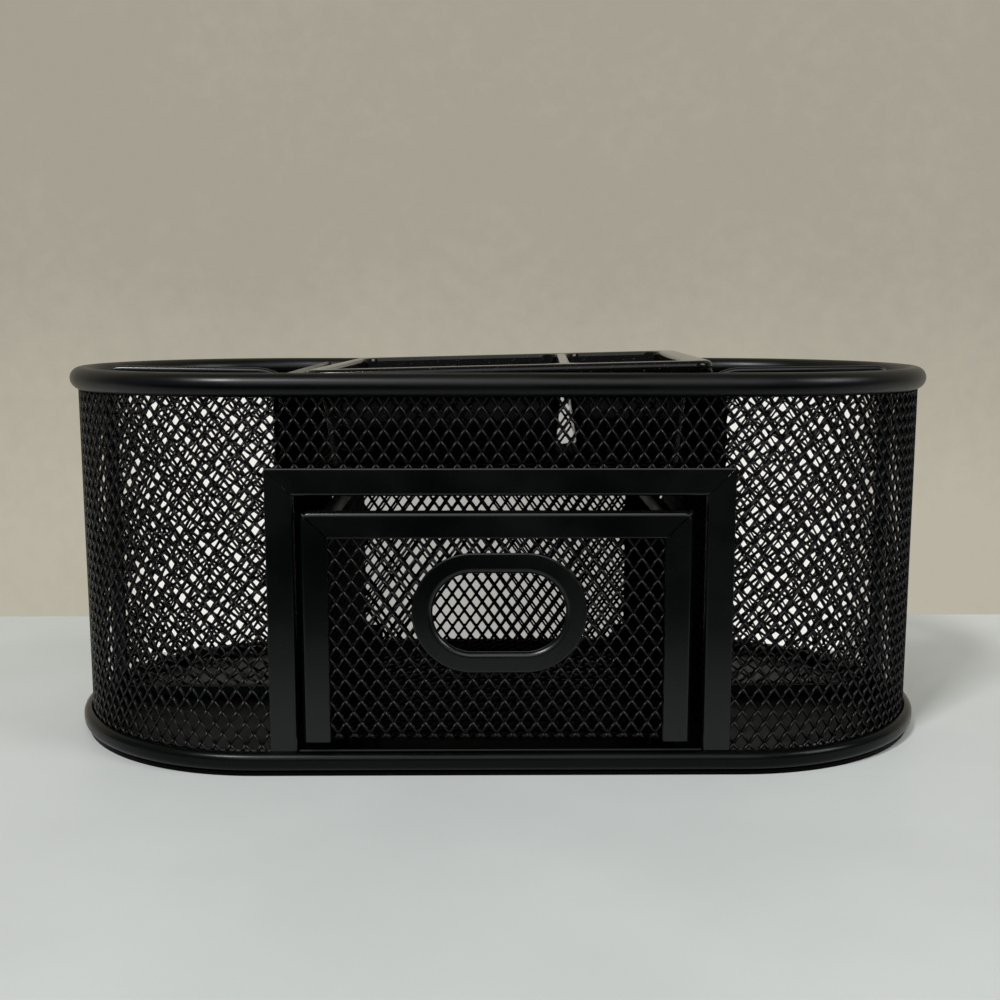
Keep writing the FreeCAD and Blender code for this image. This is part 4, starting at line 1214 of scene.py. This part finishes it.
@dataclass
class Bay:
    """The middle bay: the framed drawer opening, side panels, roof, hems and runners."""

    strip_bend: float = 0.75 * MM
    strip_gap: float = 0.1 * MM
    panel_bend: float = 0.6 * MM
    roof_bend: float = 1.0 * MM

    def make_surround(self) -> None:
        """The angle strips round the drawer opening."""
        strips, half = FrontFrame.of("surround"), STRIP_SHEET / 2
        width, back = strips.left.size.x - half, -half - self.strip_gap
        strips.section = sheet_section([(half, back), (width, back),
                                        (width, half - strips.top.size.y)],
                                       STRIP_SHEET, self.strip_bend)
        strips.fit("opening", "surround", Body.STAND)

    def make_panel(self, side: Side) -> None:
        """A mesh side panel with its two tabs.

        Args:
            side: Which of the two.
        """
        box = Extent.of(f"bay_side_{side.word}")
        half = MESH_SHEET / 2
        outside = side.value * (max(abs(box.low.x), abs(box.high.x)) - half)
        inside = side.value * (min(abs(box.low.x), abs(box.high.x)) + half)
        front, rear = box.low.y + half, box.high.y - half
        corners = [(inside, front), (outside, front), (outside, rear), (inside, rear)]
        route = [Vector((x, y, box.middle.z)) for x, y in bent_line(corners, self.panel_bend)]
        if side is Side.LEFT:
            route.reverse()
        sheet = MeshSheet(route, Z_AXIS, box.size.z)
        # The side panel takes the darker copy of the mesh coat: painted shade inside the bay.
        fit_piece(f"bay_weave_{side.word}", sheet.mesh(), MESH_COAT_PAINTED_SHADE, Body.STAND, Slot.MESH,
                  f"bay_side_{side.word}")

    def make_roof(self) -> None:
        """The mesh roof over the drawer, with its flanges."""
        box = Extent.of("bay_roof")
        half = MESH_SHEET / 2
        corners = [(box.low.x + half, box.low.z), (box.low.x + half, box.high.z - half),
                   (box.high.x - half, box.high.z - half), (box.high.x - half, box.low.z)]
        route = [Vector((x, box.middle.y, z)) for x, z in bent_line(corners, self.roof_bend)]
        sheet = MeshSheet(route, Y_AXIS, box.size.y)
        # The roof takes the darker copy of the mesh coat: painted shade inside the bay.
        fit_piece("roof_weave", sheet.mesh(), MESH_COAT_PAINTED_SHADE, Body.STAND, Slot.MESH, "bay_roof")

    def make_hem(self, side: Side) -> None:
        """The folded strip over a side panel."""
        node = f"bay_hem_{side.word}"
        fit_piece(f"bay_edge_{side.word}", hem_mesh(Extent.of(node)), STRIP_COAT, Body.STAND,
                  Slot.STRIP, node)

    def make(self) -> None:
        """Build the bay."""
        self.make_surround()
        self.make_roof()
        for side in Side:
            self.make_panel(side)
            self.make_hem(side)
            # The runners take the darker copy of the strip coat: painted shade inside the bay.
            dress_node(f"runner_{side.word}", STRIP_COAT_PAINTED_SHADE)


def hem_mesh(box: Extent) -> bpy.types.Mesh:
    """A strip folded over the upper edge of an upright panel, along the box's longer way.

    Args:
        box: The box that it fills.

    Returns:
        The strip's mesh.
    """
    along_y = box.size.y > box.size.x
    thickness = box.size.x if along_y else box.size.y
    half, top = (thickness - STRIP_SHEET) / 2, box.size.z - STRIP_SHEET / 2
    section = sheet_section([(-half, SHORTEST), (-half, top), (half, top), (half, SHORTEST)],
                            STRIP_SHEET, half * HEM_ROUNDNESS)
    if along_y:
        return strip_mesh(section, lambda along, out, up: Vector(
            (box.middle.x + out, along, box.low.z + up)), box.low.y, box.high.y)
    return strip_mesh(section, lambda along, out, up: Vector(
        (along, box.middle.y - out, box.low.z + up)), box.low.x, box.high.x)


@dataclass
class Divider:
    """A mesh divider in an end compartment and the folded strip round its edge."""

    side: Side
    strip: float = 3.4 * MM
    grip: float = 1.6 * MM
    roundness: float = 0.96
    foot_corner: float = 1.5 * MM
    wall_corner: float = 5.3 * MM
    bay_corner: float = 13.0 * MM
    bay_top_drop: float = 0.8 * MM

    def corners(self, box: Extent) -> list[Point3]:
        """The outline's corners in the X-Z plane, counterclockwise.

        Args:
            box: The strip's box.

        Returns:
            Place and radius of each corner.
        """
        low, high, left, right = box.low.z, box.high.z, box.low.x, box.high.x
        by_bay = (high - self.bay_top_drop, self.bay_corner)
        by_wall = (high, self.wall_corner)
        (right_top, right_round), (left_top, left_round) = (
            (by_wall, by_bay) if self.side is Side.RIGHT else (by_bay, by_wall))
        return [(left, low, self.foot_corner), (right, low, self.foot_corner),
                (right, right_top, right_round), (left, left_top, left_round)]

    def make_strip(self) -> None:
        """The folded strip round the edge."""
        box = Extent.of(f"divider_frame_{self.side.word}")
        half, edge = (box.size.y - STRIP_SHEET) / 2, STRIP_SHEET / 2
        section = sheet_section([(self.strip, half), (edge, half), (edge, -half),
                                 (self.strip, -half)], STRIP_SHEET, half * self.roundness)
        corners = self.corners(box)
        rings = [[Vector((x, box.middle.y + out, z)) for x, z in rounded_loop(corners, inset)]
                 for inset, out in section]
        fit_piece(f"divider_edge_{self.side.word}", skin(rings, closed=True), STRIP_COAT,
                  Body.STAND, Slot.STRIP, f"divider_frame_{self.side.word}")

    def make_panel(self) -> None:
        """The mesh inside the strip."""
        box = Extent.of(f"divider_mesh_{self.side.word}")
        route = [Vector((box.low.x, box.middle.y, box.middle.z)),
                 Vector((box.high.x, box.middle.y, box.middle.z))]
        by_bay, by_wall = self.bay_corner - self.grip, self.wall_corner - self.grip
        start, end = (by_bay, by_wall) if self.side is Side.RIGHT else (by_wall, by_bay)
        sheet = MeshSheet(route, Z_AXIS, box.size.z, LongWay.ALONG, corner_start=start,
                          corner_end=end)
        fit_piece(f"divider_weave_{self.side.word}", sheet.mesh(), MESH_COAT, Body.STAND,
                  Slot.MESH, f"divider_mesh_{self.side.word}")

    def make(self) -> None:
        """Build the divider."""
        self.make_strip()
        self.make_panel()


# ------------------------------------------------------------------ the drawer

@dataclass
class Drawer:
    """Folded mesh drawer with a framed front and an oval grip ring."""

    strip: float = 6.7 * MM
    edge_bend: float = 1.05 * MM
    front_corner: float = 2.2 * MM
    front_seam: float = 0.2 * MM
    pan_bend: float = 2.05 * MM
    side_bend: float = 1.2 * MM
    side_lap: float = 5.5 * MM
    grip_reach: float = 2.4 * MM
    grip_sheet: float = 0.7 * MM
    grip_bend: float = 1.0 * MM
    grip_band: float = 5.1 * MM
    grip_rear_band: float = 3.4 * MM
    grip_steps: int = 28

    def make_front(self) -> None:
        """The three channel strips that frame the front."""
        strips, half = FrontFrame.of("drawer_strip"), STRIP_SHEET / 2
        inner, back = self.strip - half, half - strips.top.size.y
        strips.section = sheet_section([(inner, back), (half, back), (half, -half),
                                        (inner, -half)], STRIP_SHEET, self.edge_bend)
        strips.corner, strips.seam = self.front_corner, self.front_seam
        strips.fit("drawer", "drawer_strip", Body.DRAWER)

    def make_pan(self) -> None:
        """The mesh front, floor and rear, folded from one sheet."""
        box = Extent.of("drawer_pan")
        grip = Extent.of("drawer_handle")
        half = MESH_SHEET / 2
        front, rear, low = box.low.y + half, box.high.y - half, box.low.z + half
        corners = [(front, box.high.z), (front, low), (rear, low), (rear, box.high.z)]
        route = [Vector((box.middle.x, y, z)) for y, z in bent_line(corners, self.pan_bend)]
        length = sum((b - a).length for a, b in zip(route, route[1:]))
        throat = Vector((grip.size.x / 2 - self.grip_reach, grip.size.z / 2 - self.grip_reach))
        down = box.high.z - grip.middle.z
        sheet = MeshSheet(route, -X_AXIS, box.size.x, LongWay.ALONG,
                          hole_middle=(down - length / 2, box.middle.x - grip.middle.x),
                          hole_half=(throat.y, throat.x), hole_corner=throat.y)
        mesh = sheet.mesh()
        fit_piece("drawer_weave", mesh, MESH_COAT, Body.DRAWER, Slot.MESH, "drawer_pan")
        # The floor and rear of the drawer get the darker copy of the mesh coat: painted shade
        # inside the drawer.
        mesh.materials.append(MESH_COAT_PAINTED_SHADE.material())
        for face in mesh.polygons:
            if face.center.y > front + self.pan_bend / 2:
                face.material_index = 1

    def make_side(self, side: Side) -> None:
        """A mesh side that is folded in over the floor, and the strip over its upper edge.

        Args:
            side: Which of the two.
        """
        box = Extent.of(f"drawer_side_{side.word}")
        floor = Extent.of("drawer_pan").low.z + MESH_SHEET * 1.5
        fold = [(box.middle.x, box.high.z), (box.middle.x, floor),
                (box.middle.x - side.value * self.side_lap, floor)]
        route = [Vector((x, box.middle.y, z)) for x, z in bent_line(fold, self.side_bend)]
        sheet = MeshSheet(route, Y_AXIS * side.value, box.size.y, LongWay.ALONG)
        # The side takes the darker copy of the mesh coat: painted shade inside the drawer.
        fit_piece(f"drawer_side_weave_{side.word}", sheet.mesh(), MESH_COAT_PAINTED_SHADE, Body.DRAWER,
                  Slot.MESH, f"drawer_side_{side.word}")
        node = f"drawer_hem_{side.word}"
        # The side's hem takes the darker copy of the strip coat: painted shade inside the drawer.
        fit_piece(f"drawer_edge_{side.word}", hem_mesh(Extent.of(node)), STRIP_COAT_PAINTED_SHADE,
                  Body.DRAWER, Slot.STRIP, node)

    def make_grip(self) -> None:
        """The oval ring: a rounded flange, a throat and a flange behind the mesh."""
        box = Extent.of("drawer_handle")
        outer, half = box.size.z / 2, self.grip_sheet / 2
        throat = outer - self.grip_band
        front, rear = box.low.y + half, box.high.y - half
        section = sheet_section([(outer - half, front + SHORTEST), (throat + half, front),
                                 (throat + half, rear), (throat + self.grip_rear_band, rear)],
                                self.grip_sheet, self.grip_bend)
        oval = Oval((box.size.x - box.size.z) / 2, self.grip_steps)
        rings = [oval.upright(radius, depth, box.middle.x, box.middle.z)
                 for radius, depth in section]
        fit_piece("grip_ring", skin(rings, closed=True), STRIP_COAT, Body.DRAWER, Slot.STRIP,
                  "drawer_handle")

    def make(self) -> None:
        """Build the drawer."""
        self.make_front()
        self.make_pan()
        self.make_grip()
        for side in Side:
            self.make_side(side)
        # The rear hem takes the darker copy of the strip coat: painted shade inside the drawer.
        fit_piece("drawer_edge_rear", hem_mesh(Extent.of("drawer_rear_hem")), STRIP_COAT_PAINTED_SHADE,
                  Body.DRAWER, Slot.STRIP, "drawer_rear_hem")


# ------------------------------------------------------------------ the tray

@dataclass
class Tray:
    """Moulded tray: a flange with a skirt round it, and two bins with leaning walls."""

    half_width: float = 49.85 * MM
    half_depth: float = 46.5 * MM
    height: float = 27.7 * MM
    wall: float = 1.2 * MM
    skirt: float = 3.6 * MM
    corner: float = 5.0 * MM
    edge: float = 1.3 * MM
    mouth: float = 0.9 * MM
    left_strip: float = 3.4 * MM
    end_strip: float = 6.2 * MM
    side_strip: float = 5.0 * MM
    split: float = 14.1 * MM
    split_strip: float = 3.0 * MM
    draft: float = 3.0 * MM
    floor_bend: float = 1.6 * MM
    yaw: float = math.radians(-2.5)
    tilt: float = math.radians(-1.461)
    corner_steps: int = 7
    edge_steps: int = 5
    smooth: float = 40.0

    def outline(self, left: float, right: float, low: float, high: float, inset: float,
                height: float) -> list[Vector]:
        """A level rectangle with rounded corners.

        Args:
            left: Its left side.
            right: Its right side.
            low: Its front side.
            high: Its rear side.
            inset: How far it is drawn in.
            height: Its height.

        Returns:
            Its points, counterclockwise.
        """
        corners = [(left, low, self.corner), (right, low, self.corner),
                   (right, high, self.corner), (left, high, self.corner)]
        return [Vector((x, y, height)) for x, y in rounded_loop(corners, inset, self.corner_steps)]

    def bin_rings(self, left: float, right: float) -> list[list[Vector]]:
        """Rings of one bin, from its rounded mouth down to the edge of its floor.

        Args:
            left: Left side of its mouth.
            right: Right side of its mouth.

        Returns:
            The rings, each given by how far it is drawn in and its height.
        """
        deep = self.half_depth - self.side_strip
        floor = self.wall - self.height
        bend = [(self.mouth * (math.sin(angle) - 1), self.mouth * (math.cos(angle) - 1))
                for angle in (0.0, 0.25 * math.pi, QUARTER)]
        foot = [(self.draft * 0.007, -1.2 * self.mouth),
                (self.draft - self.floor_bend * 0.14, floor + self.floor_bend * 1.5),
                (self.draft - self.floor_bend * 0.1, floor + self.floor_bend),
                (self.draft + self.floor_bend * 0.3, floor + self.floor_bend * 0.3),
                (self.draft + self.floor_bend, floor)]
        return [self.outline(left, right, -deep, deep, inset, height)
                for inset, height in bend + foot]

    def shell(self) -> bpy.types.Mesh:
        """The tray's upper skin in its own frame, with the flange's top at height 0.

        Returns:
            An open mesh for a wall to be given to.
        """
        work = bmesh.new()
        edge, wide, deep = self.edge, self.half_width, self.half_depth
        outer = [(0.0, -self.skirt), (0.0, -1.1 * edge)]
        outer += [(edge * (1 - math.cos(angle)), edge * (math.sin(angle) - 1))
                  for angle in (QUARTER * step / self.edge_steps
                                for step in range(self.edge_steps + 1))]
        rows = lay_rings(work, [self.outline(-wide, wide, -deep, deep, inset, height)
                                for inset, height in outer])
        mouths = []
        for left, right in ((self.left_strip - wide, self.split - self.split_strip / 2),
                            (self.split + self.split_strip / 2, wide - self.end_strip)):
            rings = lay_rings(work, self.bin_rings(left, right))
            work.faces.new(rings[-1])
            mouths.append(rings[0])
        border = [edge_of(work, a, b) for row in (rows[-1], *mouths)
                  for a, b in zip(row, row[1:] + row[:1])]
        bmesh.ops.triangle_fill(work, edges=border, use_beauty=True)
        return to_mesh(work, self.smooth)

    def make(self) -> None:
        """Build the tray and put it where its solid lies."""
        mesh = self.shell()
        faces_down = max(face.normal.z for face in mesh.polygons) < 0.9
        if faces_down:
            mesh.flip_normals()
        turn = Euler((0.0, 0.0, self.yaw)).to_matrix().to_4x4()
        lean = Euler((0.0, self.tilt, 0.0)).to_matrix().to_4x4()
        mesh.transform(turn @ lean)
        box = Extent.of("small_parts_tray")
        low = Vector(min(vertex.co[axis] for vertex in mesh.vertices) for axis in range(3))
        high = Vector(max(vertex.co[axis] for vertex in mesh.vertices) for axis in range(3))
        shift = box.middle - (low + high) / 2
        shift.z = box.high.z - high.z
        mesh.transform(Matrix.Translation(shift))
        piece = fit_piece("parts_tray", mesh, TRAY_PLASTIC, Body.TRAY, Slot.TRAY,
                          "small_parts_tray")
        wall = piece.modifiers.new("wall", "SOLIDIFY")
        wall.thickness = self.wall
        wall.offset = -1.0


def edge_of(work: bmesh.types.BMesh, a: bmesh.types.BMVert,
            b: bmesh.types.BMVert) -> bmesh.types.BMEdge:
    """The edge between two vertices, made if there is none."""
    return work.edges.get((a, b)) or work.edges.new((a, b))


# ------------------------------------------------------------------ the setting

@dataclass(frozen=True)
class Lamp:
    """A soft rectangular lamp that faces the object."""

    name: str
    place: Point3
    size: Point2
    power: float
    aim: Point3 = (0.0, 0.0, 50 * MM)

    def hang(self) -> None:
        """Put the lamp in its place."""
        data = bpy.data.lights.new(self.name, "AREA")
        data.shape = "RECTANGLE"
        data.size, data.size_y = self.size
        data.energy = self.power
        lamp = bpy.data.objects.new(self.name, data)
        lamp.location = self.place
        way = Vector(self.aim) - Vector(self.place)
        lamp.rotation_euler = way.to_track_quat("-Z", "Y").to_euler()
        bpy.context.scene.collection.objects.link(lamp)


LAMPS = (Lamp("left_light", (-1.0, -1.48, 2.05), (0.42, 0.42), 50.0),
         Lamp("right_light", (1.25, -0.67, 0.95), (0.6, 0.6), 8.5),
         Lamp("ceiling_light", (0.0, -1.40, 1.10), (1.4, 1.3), 10.0))


@dataclass
class Studio:
    """Table, wall, light, world and camera.

    The pairs below are the two ends of a smooth change, from full to none or back.
    """

    table_colour: Point3 = (0.52, 0.545, 0.535)
    table_change: float = 0.03
    # Where glossy rays see the table's front part, it is black: a painted dark reflection.
    table_painted_dark_reflection: Point2 = (-0.25, -0.07)
    wall_colour: Point3 = (0.485, 0.450, 0.365)
    # Painted shade: the wall's colour higher up, darker than its paint.
    wall_painted_shade_above: Point3 = (0.375, 0.350, 0.285)
    wall_rise: Point2 = (20 * MM, 150 * MM)
    # Painted light: a glowing patch painted on the wall and the card behind the stand, dimmer in
    # its middle.
    glow_colour: Point3 = (0.86, 0.85, 0.80)
    glow_middle: Point3 = (0.41, 0.405, 0.38)
    glow_side: Point2 = (128 * MM, 146 * MM)
    glow_top: Point2 = (82 * MM, 93 * MM)
    glow_core: Point2 = (58 * MM, 78 * MM)
    wall_place: float = 113 * MM
    card_half: float = 118 * MM
    card_place: float = 60 * MM
    card_low: float = 0.3 * MM
    card_high: float = 12.8 * MM
    wall_half: float = 0.6
    wall_height: float = 0.45
    table_reach: float = 3.0
    world_strength: float = 0.20
    world_tint: Point3 = (1.0, 0.99, 0.97)
    camera_place: Point3 = (-2.81 * MM, -355.17 * MM, 112.72 * MM)
    pitch: float = 0.14702
    yaw: float = 0.00896
    lens: float = 45.419
    sensor: float = 36.0
    rise: float = 0.0025

    def surface(self, name: str, corners: Sequence[Point3], material: bpy.types.Material) -> None:
        """One flat stage surface.

        Args:
            name: Its name.
            corners: Its four corners.
            material: Its material.
        """
        mesh = bpy.data.meshes.new(name)
        mesh.from_pydata(corners, [], [(0, 1, 2, 3)])
        mesh.materials.append(material)
        piece = bpy.data.objects.new(name, mesh)
        bpy.context.scene.collection.objects.link(piece)

    def make_table(self) -> None:
        """The pale table top; glossy rays see its front part as black, a painted dark reflection.
        """
        material, graph, place = blank_material("table")
        cloud = noise(graph, place, 60 * MM, detail=4.0)
        tones = [[part * share for part in self.table_colour]
                 for share in (1 - self.table_change, 1 + self.table_change)]
        tint = blend_colours(graph, cloud.ramp(0.3, 0.7), *tones)
        top = graph.add("ShaderNodeBsdfPrincipled", values={
            "Base Color": tint, "Roughness": 0.5, "Specular IOR Level": 0.25})
        _, depth, _ = graph.split(place)
        # Glossy rays see the table's front part as black emission, a painted dark reflection that
        # fades out towards the rear.
        mirrored = graph.out(graph.node("ShaderNodeLightPath"), "Is Glossy Ray")
        painted_black_reflection = graph.add("ShaderNodeEmission", values={"Color": (0.0, 0.0, 0.0, 1.0)})
        near = depth.ramp(*self.table_painted_dark_reflection, 1.0, 0.0)
        graph.close(graph.mix_shaders(mirrored * near, top, painted_black_reflection))
        reach = self.table_reach
        self.surface("table", [(-reach, -reach, 0.0), (reach, -reach, 0.0), (reach, reach, 0.0),
                               (-reach, reach, 0.0)], material)

    def wall_material(self, name: str, solid: bool) -> bpy.types.Material:
        """Pale paint that is seen from the front only, with a painted pool of light behind the
        stand and painted shade that darkens it higher up.

        Args:
            name: The material's name.
            solid: Whether it stops and scatters the lamps' light too.

        Returns:
            The material.
        """
        material, graph, place = blank_material(name)
        across, _, up = graph.split(place)
        # Painted light: the glow, a pool of light painted where the stand's openings show the wall.
        glow = abs(across).ramp(*self.glow_side, 1.0, 0.0) * up.ramp(*self.glow_top, 1.0, 0.0)
        cloud = noise(graph, place, 60 * MM, detail=3.0).ramp(0.2, 0.8, -0.12, 0.12)
        grain = noise(graph, place, 7 * MM, detail=5.0, rough=0.65).ramp(0.2, 0.8, -0.14, 0.14)
        # Painted shade: the wall darkens from its foot upwards, on top of the random mottle of the
        # paint.
        paint_and_shade = blend_colours(graph, up.ramp(*self.wall_rise) + cloud + grain,
                              self.wall_colour, self.wall_painted_shade_above)
        bright = blend_colours(graph, abs(across).ramp(*self.glow_core), self.glow_middle,
                               self.glow_colour)
        tint = blend_colours(graph, glow, paint_and_shade, bright)
        shine = graph.add("ShaderNodeEmission", values={"Color": tint, "Strength": 1.0})
        clear = graph.add("ShaderNodeBsdfTransparent")
        plain = clear
        if solid:
            plain = graph.add("ShaderNodeBsdfDiffuse", values={"Color": (*self.wall_colour, 1.0)})
        path = graph.node("ShaderNodeLightPath")
        seen = (graph.out(path, "Is Camera Ray") + graph.out(path, "Is Glossy Ray")).smaller(1.0)
        front = graph.mix_shaders(seen, plain, shine)
        behind = graph.add("ShaderNodeNewGeometry", key="Backfacing")
        graph.close(graph.mix_shaders(behind, front, clear))
        return material

    def make_wall(self) -> None:
        """A piece of painted wall and a low card just behind the stand that shows only the painted
        glow.
        """
        cards = (("wall", True, self.wall_half, self.wall_place, 0.0, self.wall_height),
                 ("card", False, self.card_half, self.card_place, self.card_low, self.card_high))
        for name, solid, half, back, low, high in cards:
            self.surface(name, [(-half, back, low), (half, back, low), (half, back, high),
                                (-half, back, high)], self.wall_material(name, solid))

    def make_world(self) -> None:
        """Even light from all sides, in the wall's colour where it is seen itself."""
        world = bpy.data.worlds.new("room")
        world.use_nodes = True
        world.node_tree.nodes.clear()
        graph = Graph(world.node_tree)
        direct = graph.out(graph.node("ShaderNodeLightPath"), "Is Camera Ray")
        seen = graph.add("ShaderNodeBackground", values={
            "Color": (*self.wall_colour, 1.0), "Strength": 1.0})
        light = graph.add("ShaderNodeBackground", values={
            "Color": (*self.world_tint, 1.0), "Strength": self.world_strength})
        graph.close(graph.mix_shaders(direct, light, seen), "World")
        bpy.context.scene.world = world

    def make_camera(self) -> None:
        """The camera, a little above the rim and left of the middle."""
        data = bpy.data.cameras.new("camera")
        data.lens, data.sensor_width, data.shift_y = self.lens, self.sensor, self.rise
        camera = bpy.data.objects.new("camera", data)
        camera.location = self.camera_place
        camera.rotation_euler = (QUARTER - self.pitch, 0.0, -self.yaw)
        bpy.context.scene.collection.objects.link(camera)
        bpy.context.scene.camera = camera

    def make(self) -> None:
        """Build the stage, the lights and the camera."""
        self.make_table()
        self.make_wall()
        self.make_world()
        for lamp in LAMPS:
            lamp.hang()
        self.make_camera()
        bpy.context.scene.view_settings.view_transform = "Standard"


def main() -> None:
    """Build every sub-assembly in order."""
    logging.basicConfig(level=logging.INFO, format="%(message)s")
    Shell().make()
    Bay().make()
    for side in Side:
        Divider(side).make()
    Drawer().make()
    Tray().make()
    Studio().make()


if __name__ == "__main__":
    main()
